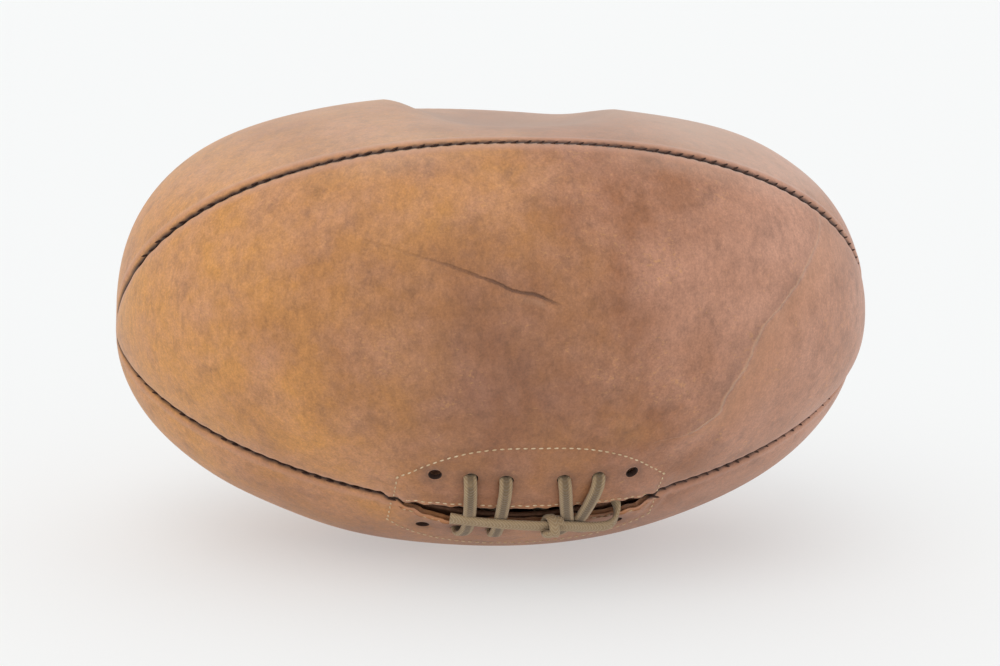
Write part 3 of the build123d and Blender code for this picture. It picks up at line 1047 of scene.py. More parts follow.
    def marked(self, bench: NodeBench, hue: Socket, lines: dict) -> Socket:
        """Add the seams, the crease, the water mark, and the worn and soiled places, with painted
        shade in the crease and the hollow, and painted highlights and shadow at the crease's lip
        and the water mark's ridge.

        Args:
            bench: The material's bench.
            hue: The colour so far.
            lines: The masks that lines() gives.

        Returns:
            The finished colour.
        """
        seam = bench.mark("seam")
        band = bench.ramp(seam, [(0.06, 0.0), (0.14, 0.45), (0.25, 0.0)])
        hue = bench.blend(band, hue, self.rose)
        for name, share, colour in (
            # left: painted shadow beside the water mark's ridge; right: the stain's orange tone.
            ("left", 0.28, (0.19, 0.105, 0.075)),
            ("right", 0.30, (0.50, 0.22, 0.080)),
            # ridge: painted highlight on the water mark's raised edge.
            ("ridge", 0.42, (0.56, 0.36, 0.23)),
            # lip: painted highlight on the raised lip below the crease.
            ("lip", 0.5, (0.52, 0.30, 0.18)),
            # fold: painted shade in the crease.
            ("fold", 0.72, (0.085, 0.036, 0.022)),
        ):
            hue = bench.blend(bench.sum(lines[name], share, "MULTIPLY"), hue, colour)
        patchy = bench.ramp(bench.noise(bench.place(), 130.0, 4.0), [(0.4, 0.15), (0.65, 0.9)])
        worn = bench.sum(bench.mark("worn"), patchy, "MULTIPLY")
        hue = bench.blend(worn, hue, (0.52, 0.22, 0.08))
        soil = bench.sum(bench.mark("soil"), 0.6, "MULTIPLY", True)
        hue = bench.blend(soil, hue, (0.07, 0.04, 0.03))
        # Painted shade: the crown's hollow is coloured a darker, greyer brown the deeper it is.
        hollow = bench.sum(bench.mark("hollow"), 0.5, "MULTIPLY")
        hue = bench.blend(hollow, hue, (0.36, 0.23, 0.165))
        return bench.blend(bench.ramp(seam, [(0.035, 0.95), (0.085, 0.0)]), hue, self.black)


@dataclass(frozen=True)
class PlainLeather:
    """The leather of a facing or the tongue, seen only inside the slot."""

    name: str
    colour: tuple
    streak: tuple

    def make(self) -> bpy.types.Material:
        """Build the material.

        Returns:
            The material.
        """
        bench = NodeBench.start(self.name)
        cloud = bench.noise(bench.place(), 120.0, 5.0, 0.7)
        grain = bench.noise(bench.place(), 900.0, 4.0, 0.7)
        hue = bench.blend(bench.ramp(cloud, [(0.35, 0.0), (0.7, 1.0)]), self.colour, self.streak)
        hue = bench.blend(0.7, hue, bench.ramp(grain, [(0.3, 0.7), (0.7, 1.2)]), "MULTIPLY")
        normal = bench.relief(grain, 0.0003, 0.6)
        return bench.finish(Base_Color=hue, Roughness=0.72, Normal=normal, Specular_IOR_Level=0.3)


@dataclass(frozen=True)
class WaxedThread:
    """Sewing thread, twisted and waxed."""

    name: str
    colour: tuple
    light: tuple

    def make(self) -> bpy.types.Material:
        """Build the material.

        Returns:
            The material.
        """
        bench = NodeBench.start(self.name)
        fray = bench.noise(bench.place(), 1500.0, 3.0, 0.6)
        patch = bench.noise(bench.place(), 90.0, 3.0, 0.6)
        hue = bench.blend(bench.ramp(fray, [(0.35, 0.0), (0.7, 1.0)]), self.colour, self.light)
        stained = bench.ramp(patch, [(0.45, 0.0), (0.75, 0.6)])
        hue = bench.blend(stained, hue, self.colour, "MULTIPLY")
        normal = bench.relief(fray, 0.0002, 0.8)
        return bench.finish(Base_Color=hue, Roughness=0.8, Normal=normal, Specular_IOR_Level=0.25)


@dataclass(frozen=True)
class BraidedCotton:
    """A flat braided lace, soiled down the middle and pale along its edges."""

    name: str = "braided_cotton"
    pale: tuple = (0.640, 0.480, 0.300)
    khaki: tuple = (0.370, 0.255, 0.140)
    soil: tuple = (0.095, 0.065, 0.040)

    def make(self) -> bpy.types.Material:
        """Build the material from the lace's own map: U round it, V along it in millimetres.

        Returns:
            The material.
        """
        bench = NodeBench.start(self.name)
        chart = bench.add("ShaderNodeUVMap", uv_map="braid").outputs["UV"]
        axes = bench.add("ShaderNodeSeparateXYZ", {"Vector": chart})
        u, v = axes.outputs["X"], axes.outputs["Y"]
        side = bench.sum(bench.sum(u, 0.5, "MODULO"), 0.25, "SUBTRACT")
        off = bench.add("ShaderNodeMath", {0: side}, operation="ABSOLUTE").outputs[0]
        slope = bench.sum(bench.sum(off, 11.0, "MULTIPLY"), v, "ADD")
        plait = bench.sum(bench.sum(slope, 5.2, "MULTIPLY"), 0.0, "SINE")
        plait = bench.ramp(plait, [(0.0, 0.0), (0.6, 1.0)])
        fray = bench.noise(bench.place(), 1300.0, 4.0, 0.7)
        patch = bench.noise(bench.place(), 170.0, 4.0, 0.7)
        hue = bench.blend(bench.sum(plait, fray, "MULTIPLY"), self.khaki, self.pale)
        core = bench.ramp(off, [(0.03, 1.0), (0.09, 0.0)])
        dirt = bench.sum(bench.mark("soil"), core, "MULTIPLY")
        dirt = bench.sum(dirt, bench.ramp(patch, [(0.3, 0.6), (0.6, 1.0)]), "MULTIPLY")
        hue = bench.blend(dirt, hue, self.soil)
        hue = bench.blend(bench.ramp(patch, [(0.42, 0.0), (0.72, 0.55)]), hue, self.khaki)
        normal = bench.relief(plait, 0.00035, 0.9)
        normal = bench.relief(fray, 0.0003, 0.7, normal)
        return bench.finish(
            Base_Color=hue,
            Roughness=0.88,
            Normal=normal,
            Specular_IOR_Level=0.2,
            Sheen_Weight=0.25,
            Sheen_Roughness=0.5,
        )


@dataclass(frozen=True)
class OldRubber:
    """The bladder's rubber, dusted with chalk and perished a little."""

    name: str = "old_rubber"

    def make(self) -> bpy.types.Material:
        """Build the material.

        Returns:
            The material.
        """
        bench = NodeBench.start(self.name)
        cloud = bench.noise(bench.place(), 60.0, 5.0, 0.7)
        fine = bench.noise(bench.place(), 700.0, 4.0, 0.7)
        hue = bench.ramp(cloud, [(0.3, (0.16, 0.045, 0.03)), (0.7, (0.30, 0.12, 0.08))])
        normal = bench.relief(fine, 0.0002, 0.5)
        return bench.finish(Base_Color=hue, Roughness=0.7, Normal=normal, Specular_IOR_Level=0.35)


# --- Sewing ---
@dataclass
class StitchTree:
    """A Geometry Nodes tree that sews a row of stitches along a path."""

    name: str
    material: bpy.types.Material
    inputs: dict = field(default_factory=dict)

    def build(self) -> bpy.types.NodeTree:
        """Make the tree, and note the identifier of each of its inputs.

        Returns:
            The tree.
        """
        tree = bpy.data.node_groups.new(self.name, "GeometryNodeTree")
        face = tree.interface
        face.new_socket("Path", in_out="INPUT", socket_type="NodeSocketGeometry")
        for label, value in (
            ("Pitch", 4.7 * MM),
            ("Length", 3.2 * MM),
            ("Width", 0.9 * MM),
            ("Height", 0.7 * MM),
            ("Slant", 0.0),
            ("Wander", 0.08),
        ):
            socket = face.new_socket(label, in_out="INPUT", socket_type="NodeSocketFloat")
            socket.default_value = value
            self.inputs[label] = socket.identifier
        seed = face.new_socket("Seed", in_out="INPUT", socket_type="NodeSocketInt")
        seed.default_value = 7
        self.inputs["Seed"] = seed.identifier
        face.new_socket("Stitches", in_out="OUTPUT", socket_type="NodeSocketGeometry")
        add, link = tree.nodes.new, tree.links.new
        given, result = add("NodeGroupInput"), add("NodeGroupOutput")
        curve, spaced = add("GeometryNodeMeshToCurve"), add("GeometryNodeResampleCurve")
        spaced.mode = "LENGTH"
        link(given.outputs["Path"], curve.inputs[0])
        link(curve.outputs[0], spaced.inputs["Curve"])
        link(given.outputs["Pitch"], spaced.inputs["Length"])
        tangent, up = add("GeometryNodeInputTangent"), add("GeometryNodeInputNamedAttribute")
        up.data_type = "FLOAT_VECTOR"
        up.inputs["Name"].default_value = "up"
        axes = add("FunctionNodeAxesToRotation")
        axes.primary_axis, axes.secondary_axis = "Z", "X"
        link(up.outputs[0], axes.inputs[0])
        link(tangent.outputs[0], axes.inputs[1])
        jitter = add("FunctionNodeRandomValue")
        jitter.data_type = "FLOAT"
        jitter.inputs[2].default_value, jitter.inputs[3].default_value = -1.0, 1.0
        link(given.outputs["Seed"], jitter.inputs["Seed"])
        wander, slant = add("ShaderNodeMath"), add("ShaderNodeMath")
        wander.operation, slant.operation = "MULTIPLY", "ADD"
        link(jitter.outputs[1], wander.inputs[0])
        link(given.outputs["Wander"], wander.inputs[1])
        link(wander.outputs[0], slant.inputs[0])
        link(given.outputs["Slant"], slant.inputs[1])
        turn, spin = add("ShaderNodeCombineXYZ"), add("FunctionNodeEulerToRotation")
        link(slant.outputs[0], turn.inputs["Z"])
        link(turn.outputs[0], spin.inputs[0])
        turned = add("FunctionNodeRotateRotation")
        turned.rotation_space = "LOCAL"
        link(axes.outputs[0], turned.inputs[0])
        link(spin.outputs[0], turned.inputs[1])
        bead, size = add("GeometryNodeMeshUVSphere"), add("ShaderNodeCombineXYZ")
        bead.inputs["Segments"].default_value = 8
        bead.inputs["Rings"].default_value = 6
        bead.inputs["Radius"].default_value = 0.5
        for label, axis in (("Length", "X"), ("Width", "Y"), ("Height", "Z")):
            link(given.outputs[label], size.inputs[axis])
        sewn, real = add("GeometryNodeInstanceOnPoints"), add("GeometryNodeRealizeInstances")
        link(spaced.outputs[0], sewn.inputs["Points"])
        link(bead.outputs["Mesh"], sewn.inputs["Instance"])
        link(turned.outputs[0], sewn.inputs["Rotation"])
        link(size.outputs[0], sewn.inputs["Scale"])
        shade, dress = add("GeometryNodeSetShadeSmooth"), add("GeometryNodeSetMaterial")
        dress.inputs["Material"].default_value = self.material
        link(sewn.outputs[0], real.inputs[0])
        link(real.outputs[0], shade.inputs[0])
        link(shade.outputs[0], dress.inputs[0])
        link(dress.outputs[0], result.inputs[0])
        return tree

    def sew(
        self, tree: bpy.types.NodeTree, name: str, runs: list, sizes: dict
    ) -> bpy.types.Object:
        """Sew rows of stitches.

        Args:
            tree: The tree that build() made.
            name: The piece's name.
            runs: The rows, each a pair of its points and their outward normals.
            sizes: Values for the tree's named inputs.

        Returns:
            The sewn piece, as a plain mesh.
        """
        points = np.concatenate([run[0] for run in runs])
        ups = np.concatenate([run[1] for run in runs])
        edges, start = [], 0
        for run in runs:
            edges += [(start + i, start + i + 1) for i in range(len(run[0]) - 1)]
            start += len(run[0])
        mesh = bpy.data.meshes.new(name)
        mesh.from_pydata(points.tolist(), edges, [])
        layer = mesh.attributes.new("up", "FLOAT_VECTOR", "POINT")
        layer.data.foreach_set("vector", ups.astype(np.float32).ravel())
        path = bpy.data.objects.new(name, mesh)
        bpy.context.scene.collection.objects.link(path)
        modifier = path.modifiers.new("sewing", "NODES")
        modifier.node_group = tree
        for label, value in sizes.items():
            modifier[self.inputs[label]] = value
        sewn = baked(path, name)
        if not sewn.data.materials:
            sewn.data.materials.append(self.material)
        return sewn


# --- Sub-assemblies ---
@dataclass
class Casing:
    """The four leather panels and the sewing in their seams."""

    form: CasingForm
    relief: SkinRelief
    leather: float = 2.2 * MM
    flange: float = 4.5 * MM
    hole_radius: float = 2.45 * MM
    sheets: dict = field(default_factory=dict)

    def build(self, finish: bpy.types.Material) -> None:
        """Make the four panels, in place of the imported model's.

        Args:
            finish: The leather.
        """
        cutter = PanelCutter(self.form, self.relief)
        for gore in Gore:
            sheet = cutter.lay(gore)
            self.sheets[gore] = sheet
            piece = self.panel(sheet, gore)
            put_in_place(piece, f"{gore.name.lower()}_panel", finish)

    def panel(self, sheet: PanelSheet, gore: Gore) -> bpy.types.Object:
        """Give a sheet its turned flanges, its poles, its thickness and its lace holes.

        Args:
            sheet: The shaped skin.
            gore: The panel.

        Returns:
            The panel's object.
        """
        points = sheet.points
        x = points[:, 0, 0]
        reach = np.clip((self.form.half_length - np.abs(x)) / (14 * MM), 0.0, 1.0)
        depth = np.where(reach > 0.25, self.flange * reach, 0.0)
        slot_side = {Gore.FRONT: 0, Gore.BOTTOM: -1}.get(gore)
        columns = [points[:, j] for j in range(points.shape[1])]
        order = list(range(points.shape[1]))
        for edge in (0, -1):
            inward = np.zeros_like(points[:, edge])
            inward[:, 1] = -points[:, edge, 1]
            inward[:, 2] = self.form.axis_height - points[:, edge, 2]
            inward /= np.maximum(np.linalg.norm(inward, axis=1, keepdims=True), 1e-9)
            cut = self.relief.beside(x) if slot_side == edge else np.zeros_like(x)
            turned = depth * (1.0 - 0.93 * cut)
            for share in (0.45, 1.0):
                row = points[:, edge] + inward * (turned * share)[:, None]
                if edge == 0:
                    columns.insert(0, row)
                    order.insert(0, 0)
                else:
                    columns.append(row)
                    order.append(points.shape[1] - 1)
        grid = np.stack(columns, axis=1)
        marks = {name: values[:, order] for name, values in sheet.marks.items()}
        count, width = grid.shape[0], grid.shape[1]
        flat = grid.reshape(-1, 3)
        pole = self.form.half_length
        tips = np.array([[-pole, 0, self.form.axis_height], [pole, 0, self.form.axis_height]])
        faces = grid_faces(count, width)
        left, right = len(flat), len(flat) + 1
        last = (count - 1) * width
        faces += [(left, j, j + 1) for j in range(width - 1)]
        faces += [(right, last + j + 1, last + j) for j in range(width - 1)]
        name = f"{gore.name.lower()}_leather"
        piece = new_piece(name, np.concatenate([flat, tips]), faces)
        at_poles = {key: 1.0 if key == "seam" else 0.0 for key in marks}
        whole = {key: np.append(marks[key].ravel(), [at_poles[key]] * 2) for key in marks}
        set_marks(piece.data, whole)
        wall = piece.modifiers.new("wall", "SOLIDIFY")
        wall.thickness, wall.offset = self.leather, -1.0
        wall.use_rim = True
        if slot_side is not None:
            cutters = self.hole_cutters(sheet, gore)
            holes = piece.modifiers.new("holes", "BOOLEAN")
            holes.operation, holes.solver, holes.object = "DIFFERENCE", "EXACT", cutters
            done = baked(piece, name)
            bpy.data.objects.remove(cutters)
            return done
        return baked(piece, name)

    def check_side(self, mesh: bpy.types.Mesh) -> None:
        """Turn a lining over if its faces look into the ball.

        Args:
            mesh: The lining's sheet, before it has a thickness.
        """
        mid = mesh.polygons[len(mesh.polygons) // 2]
        out = mid.center - Vector((mid.center.x, 0.0, self.form.axis_height))
        if mid.normal.dot(out) < 0:
            mesh.flip_normals()

    def hole_cutters(self, sheet: PanelSheet, gore: Gore) -> bpy.types.Object:
        """The round punches for a lip's lace holes, a little out of true as cut by hand.

        Args:
            sheet: The lip's panel.
            gore: Which panel it is.

        Returns:
            One object with all six punches.
        """
        upper = gore is Gore.FRONT
        across = self.relief.upper_setback if upper else -self.relief.lower_setback
        centres, outs = self.skin_at(np.array(self.relief.hole_x), np.full(6, across))
        points, faces = [], []
        for number, (centre, out_of_skin) in enumerate(zip(centres, outs)):
            axis = Vector(out_of_skin).normalized()
            side = Vector((1.0, 0.0, 0.0))
            up = axis.cross(side)
            start = len(points)
            for level in (-9 * MM, 9 * MM):
                for step in range(20):
                    angle = 2.0 * math.pi * step / 20
                    radius = self.hole_radius * (1.0 + 0.05 * math.sin(2 * angle + number))
                    out = side * math.cos(angle) + up * math.sin(angle)
                    points.append(Vector(centre) + axis * level + out * radius)
            ring = list(range(start, start + 20))
            lid = list(range(start + 20, start + 40))
            joined = zip(ring, ring[1:] + ring[:1], lid, lid[1:] + lid[:1])
            faces += [(a, b, d, c) for a, b, c, d in joined]
            faces += [tuple(reversed(ring)), tuple(lid)]
        cutter = new_piece("hole_punches", np.array([tuple(p) for p in points]), faces, False)
        face_outwards(cutter.data)
        blank = {name: np.zeros(len(points)) for name in sheet.marks}
        blank["seam"] = np.ones(len(points))
        blank["soil"] = np.full(len(points), 1.3)
        set_marks(cutter.data, blank)
        return cutter

    def seam_run(self, gore: Gore, edge: int, low: float, high: float) -> tuple:
        """The line of a seam between two stations.

        Args:
            gore: A panel beside the seam.
            edge: The column of that panel's sheet that lies in the seam.
            low: Where the run starts along the ball.
            high: Where it ends.

        Returns:
            The points and their outward normals.
        """
        line = self.sheets[gore].points[:, edge]
        x = line[:, 0]
        keep = (x > low) & (x < high)
        out = line[keep] * np.array([0.0, 1.0, 1.0])
        out[:, 2] -= self.form.axis_height
        out /= np.linalg.norm(out, axis=1, keepdims=True)
        return line[keep] + out * 0.75 * MM, out

    def sew(self, thread: bpy.types.Material) -> None:
        """Sew the seams with slanted stitches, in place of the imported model's thread.

        Args:
            thread: The thread's finish.
        """
        tree_maker = StitchTree("seam_sewing", thread)
        tree = tree_maker.build()
        end = self.form.half_length - 9 * MM
        gap_left = self.form.slot_x - self.relief.slot_half - 1 * MM
        gap_right = self.form.slot_x + self.relief.slot_half + 1 * MM
        rows = {
            "seam_thread_top_front": (Gore.TOP, 0, -end, end, 0.42),
            "seam_thread_top_back": (Gore.TOP, -1, -end, end, -0.42),
            "seam_thread_bottom_back": (Gore.BOTTOM, 0, -end, end, 0.42),
            "seam_thread_front_bottom_left": (Gore.BOTTOM, -1, -end, gap_left, -0.42),
            "seam_thread_front_bottom_right": (Gore.BOTTOM, -1, gap_right, end, -0.42),
        }
        for number, (node, (gore, edge, low, high, slant)) in enumerate(rows.items()):
            run = self.seam_run(gore, edge, low, high)
            sizes = {
                "Pitch": self.relief.stitch_pitch,
                "Length": 3.7 * MM,
                "Width": 0.75 * MM,
                "Height": 0.9 * MM,
                "Slant": slant,
                "Wander": 0.12,
                "Seed": 3 + number,
            }
            piece = tree_maker.sew(tree, f"{node}_stitches", [run], sizes)
            put_in_place(piece, node)

    def skin_at(self, x: np.ndarray, across: np.ndarray) -> tuple[np.ndarray, np.ndarray]:
        """Points on the finished skin beside the slot.

        Args:
            x: Places along the ball.
            across: Distances from the seam, up the front or under 0 down the keel.

        Returns:
            The points and their outward normals.
        """
        found = [
            self.sheets[Gore.FRONT if away > 0 else Gore.BOTTOM].at(place, abs(away))
            for place, away in zip(x, across)
        ]
        return np.array([point for point, _ in found]), np.array([out for _, out in found])


@dataclass
class SlotLinings:
    """The two facings inside the lips, their sewing, and the tongue behind the slot."""

    casing: Casing
    overlap: float = 4.0 * MM
    reach: float = 38 * MM
    shoulder: float = 15 * MM
    inset: float = 2.35 * MM
    thickness: float = 1.5 * MM
    margin: float = 2.5 * MM
    squareness: float = 2.6

    def outline(self, x: np.ndarray, inset: float = 0.0) -> np.ndarray:
        """How far a facing reaches from the seam at each place along it.

        Args:
            x: Places along the ball.
            inset: How far inside its edge to stay.

        Returns:
            The distances along the skin.
        """
        half = self.casing.relief.slot_half + self.overlap
        s = np.clip((x - self.casing.form.slot_x) / half, -1.0, 1.0)
        bulge = 1.0 - np.abs(s) ** self.squareness
        return self.shoulder + (self.reach - self.shoulder) * bulge - inset

    def facings(self, finish: bpy.types.Material) -> None:
        """Make the two crescents of leather inside the lips.

        Args:
            finish: Their leather.
        """
        relief, form = self.casing.relief, self.casing.form
        half = relief.slot_half + self.overlap
        x = np.linspace(form.slot_x - half, form.slot_x + half, 90)
        for side, lip, node in ((1, relief.slot_rise, "upper"), (-1, relief.slot_drop, "lower")):
            near = relief.lip(x, lip) + 1.0 * MM
            far = np.maximum(self.outline(x), near + 2 * MM)
            share = np.linspace(0.0, 1.0, 24)
            across = side * (near[:, None] + (far - near)[:, None] * share)
            flat_x = np.repeat(x, len(share))
            depth = self.inset * np.ones(across.size)
            skin = form.beside_slot(flat_x, across.ravel(), -depth)
            faces = grid_faces(len(x), len(share))
            piece = new_piece(f"{node}_facing_leather", skin, faces)
            self.casing.check_side(piece.data)
            wall = piece.modifiers.new("wall", "SOLIDIFY")
            wall.thickness, wall.offset = self.thickness, -1.0
            sheet = self.casing.sheets[Gore.FRONT if side > 0 else Gore.BOTTOM]
            cutters = self.casing.hole_cutters(sheet, sheet.gore)
            holes = piece.modifiers.new("holes", "BOOLEAN")
            holes.operation, holes.solver, holes.object = "DIFFERENCE", "EXACT", cutters
            piece = baked(piece, f"{node}_facing_leather")
            bpy.data.objects.remove(cutters)
            put_in_place(piece, f"{node}_lace_facing", finish)

    def sewing(self, thread: bpy.types.Material) -> None:
        """Sew each facing down: along its arc, down its ends and beside its lip.

        Args:
            thread: The thread's finish.
        """
        relief, form = self.casing.relief, self.casing.form
        maker = StitchTree("facing_sewing", thread)
        tree = maker.build()
        half = relief.slot_half + self.overlap - self.margin
        for number, (side, lip, node) in enumerate(
            ((1, relief.slot_rise, "upper"), (-1, relief.slot_drop, "lower"))
        ):
            x = np.linspace(form.slot_x - half, form.slot_x + half, 70)
            arc = side * self.outline(x, self.margin)
            runs = [self.casing.skin_at(x, arc)]
            for end in (x[0], x[-1]):
                span = np.linspace(side * 3.2 * MM, arc[0], 8)
                runs.append(self.casing.skin_at(np.full(8, end), span))
            inner = np.linspace(form.slot_x - 0.9 * half, form.slot_x + 0.9 * half, 60)
            beside = side * (relief.lip(inner, lip) + 2.3 * MM)
            runs.append(self.casing.skin_at(inner, beside))
            runs = [(points + ups * 0.08 * MM, ups) for points, ups in runs]
            sizes = {
                "Pitch": 2.65 * MM,
                "Length": 1.75 * MM,
                "Width": 0.6 * MM,
                "Height": 0.5 * MM,
                "Slant": 0.05,
                "Wander": 0.12,
                "Seed": 11 + number,
            }
            piece = maker.sew(tree, f"{node}_facing_stitches", runs, sizes)
            put_in_place(piece, f"{node}_facing_stitching")

    def tongue(self, finish: bpy.types.Material) -> None:
        """Make the loose strip behind the slot, which ripples where the lace presses it.

        Args:
            finish: Its leather.
        """
        form = self.casing.form
        length, width, corner = 112 * MM, 34 * MM, 9 * MM
        x = np.linspace(-length / 2, length / 2, 110)
        share = np.linspace(-1.0, 1.0, 34)
        short = np.clip(np.abs(x) - (length / 2 - corner), 0.0, corner)
        half = width / 2 - corner + np.sqrt(corner**2 - short**2)
        across = half[:, None] * share
        centre = form.beside_slot(np.array([form.slot_x]), np.array([1e-7]), np.zeros(1))[0]
        out = np.array([0.0, -71.0, -52.5])
        out /= np.linalg.norm(out)
        up = np.array([0.0, out[2], -out[1]])
        ripple = 0.5 * MM * np.sin(x[:, None] / (5.5 * MM)) * np.cos(share * 2.2 + 0.5)
        bow = np.clip(((x + form.slot_x) / form.half_length) ** 2 * 0.62, 0, 1)[:, None]
        depth = 11.3 * MM + 75 * MM * bow + 14 * MM * share**2 * 0.5 - ripple * 0.6
        points = centre + out * -depth[..., None] + up * across[..., None]
        points[..., 0] += x[:, None]
        piece = new_piece("tongue_leather", points.reshape(-1, 3), grid_faces(len(x), len(share)))
        self.casing.check_side(piece.data)
        wall = piece.modifiers.new("wall", "SOLIDIFY")
        wall.thickness, wall.offset = 1.8 * MM, -1.0
        piece = baked(piece, "tongue_leather")
        put_in_place(piece, "tongue", finish)


@dataclass
class Lace:
    """The flat braided lace on its real route, with the hitch round its tail."""

    casing: Casing
    half_width: float = 2.35 * MM
    half_thickness: float = 0.95 * MM
    sink: float = 5.9 * MM
    lift: float = 1.9 * MM
    tail: tuple = (
        (-28.0, -0.2, 4.6), (-17.0, 0.6, 5.4), (3.5, -0.6, 6.0), (13.5, -2.4, 5.8),
        (22.0, -6.4, 4.6), (32.5, -6.8, 3.8), (33.0, 1.2, -1.0), (24.0, 3.0, -5.9),
    )
    leans: tuple = (-5.0, 5.0, 0.8, 2.6)
    sides: int = 18
    hitch_soil: float = 0.1

    def route(self) -> np.ndarray:
        """The route's points, from the cut end to the end inside the ball.

        Returns:
            The points, shape (n, 3).
        """
        relief = self.casing.relief
        up, down = relief.upper_setback / MM, -relief.lower_setback / MM
        sink, lift = self.sink / MM, self.lift / MM
        rows = list(self.tail)
        strands = [22.75, 10.25, -10.25, -22.75]
        for x, after, lean in zip(strands, strands[1:] + [-36.0], self.leans):
            rows += [
                (x, up, -sink),
                (x, up, lift + 1.0),
                (x + lean / 2, 6.0, lift + 0.5),
                (x + lean, -9.0, lift + 0.5),
                (x, down, lift + 1.0),
                (x, down, -sink),
                ((x + after) / 2, -1.0, 0.5 - sink),
            ]
        x, across, height = np.array(rows).T * MM
        x = x + self.casing.form.slot_x
        smooth = self.casing.form.beside_slot(x, across, height)
        skin, outs = self.casing.skin_at(x, across)
        over = (height > 0) & (np.abs(across) > 5 * MM)
        return np.where(over[:, None], skin + outs * height[:, None], smooth)

    def line(self) -> np.ndarray:
        """The lace's centre line, read from a smooth spline that the route controls.

        Returns:
            The line's points, shape (n, 3).
        """
        curve = bpy.data.curves.new("lace_line", "CURVE")
        curve.dimensions = "3D"
        spline = curve.splines.new("NURBS")
        route = self.route()
        spline.points.add(len(route) - 1)
        for point, place in zip(spline.points, route):
            point.co = (*place, 1.0)
        spline.order_u = 3
        spline.use_endpoint_u = True
        spline.resolution_u = 22
        holder = bpy.data.objects.new("lace_line", curve)
        bpy.context.scene.collection.objects.link(holder)
        graph = bpy.context.evaluated_depsgraph_get()
        mesh = bpy.data.meshes.new_from_object(holder.evaluated_get(graph), depsgraph=graph)
        points = np.array([tuple(vertex.co) for vertex in mesh.vertices])
        bpy.data.objects.remove(holder)
        bpy.data.meshes.remove(mesh)
        bpy.data.curves.remove(curve)
        apart = np.linalg.norm(np.diff(points, axis=0), axis=1) > 0.02 * MM
        return points[np.concatenate([[True], apart])]

    def build(self, finish: bpy.types.Material) -> None:
        """Args:
            finish: The braid's finish.
        """
        line = self.line()
        steps = np.linalg.norm(np.diff(line, axis=0), axis=1)
        length = float(steps.sum())
        along = np.concatenate([[0.0], np.cumsum(steps)])
        share = np.linspace(0.0, 1.0, len(line))
        up = np.array([0.0, -0.595, 0.804])
        turned = step_up(share, 6.0 / 36.0, 8.5 / 36.0)[:, None]
        wide = up * (1.0 - turned) + np.array([1.0, 0.0, 0.0]) * turned
        piece = self.ribbon("braided_lace", line, wide, along, self.flare(along))
        self.soil(piece, share)
        knot = self.hitch()
        put_in_place(piece, "lace", finish)
        put_in_place(knot, "lace_knot", finish)
        log.info("%s: %.1f mm long", piece.name, length / MM)

    def flare(self, along: np.ndarray) -> np.ndarray:
        """The lace's width along it: spread a little at its cut end."""
        return 1.0 + 0.16 * bump_at(along, 4 * MM) - 0.10 * bump_at(along - 11 * MM, 7 * MM)

    def ribbon(
        self, name: str, line: np.ndarray, wide: np.ndarray, along: np.ndarray, flare: np.ndarray
    ) -> bpy.types.Object:
        """Sweep the flat section of the lace.

        Args:
            name: The piece's name.
            line: The centre line.
            wide: The direction of the lace's width at each point.
            along: The distance along the line.
            flare: A factor on the width.

        Returns:
            The swept piece, with its map of the braid.
        """
        tangent = np.gradient(line, axis=0)
        tangent /= np.linalg.norm(tangent, axis=1, keepdims=True)
        wide = wide - (wide * tangent).sum(axis=1, keepdims=True) * tangent
        wide /= np.maximum(np.linalg.norm(wide, axis=1, keepdims=True), 1e-9)
        thick = np.cross(tangent, wide)
        around = self.sides
        angle = 2.0 * np.pi * np.arange(around) / around
        c, s = np.cos(angle), np.sin(angle)
        flat_c = np.sign(c) * np.abs(c) ** 0.72
        flat_s = np.sign(s) * np.abs(s) ** 0.72
        rim = (
            line[:, None]
            + wide[:, None] * (self.half_width * flare)[:, None, None] * flat_c[None, :, None]
            + thick[:, None] * self.half_thickness * flat_s[None, :, None]
        )
        points = rim.reshape(-1, 3)
        faces = grid_faces(len(line), around, closed=True)
        last = (len(line) - 1) * around
        ends = np.array([line[0], line[-1]])
        first_tip, last_tip = len(points), len(points) + 1
        for j in range(around):
            after = (j + 1) % around
            faces.append((first_tip, j, after))
            faces.append((last_tip, last + after, last + j))
        piece = new_piece(name, np.concatenate([points, ends]), faces)
        chart = piece.data.uv_layers.new(name="braid")
        u = np.arange(around) / around
        for polygon in piece.data.polygons:
            numbers = [piece.data.loops[i].vertex_index for i in polygon.loop_indices]
            columns = [n % around for n in numbers if n < first_tip]
            wraps = 0 in columns and around - 1 in columns
            for loop, number in zip(polygon.loop_indices, numbers):
                if number >= first_tip:
                    chart.data[loop].uv = (0.25, along[0 if number == first_tip else -1] / MM)
                    continue
                column = number % around
                place = 1.0 if wraps and column == 0 else u[column]
                chart.data[loop].uv = (place, along[number // around] / MM)
        face_outwards(piece.data)
        return piece

    def soil(self, piece: bpy.types.Object, share: np.ndarray) -> None:
        """Note how soiled the lace is: the strands most, and the tail least.

        Args:
            piece: The lace.
            share: How far along the lace each ring of its mesh is, from 0 to 1.
        """
        level = 0.12 + 0.78 * step_up(share, 0.10, 0.24)
        values = np.repeat(level, self.sides)
        set_marks(piece.data, {"soil": np.append(values, [level[0], level[-1]])})

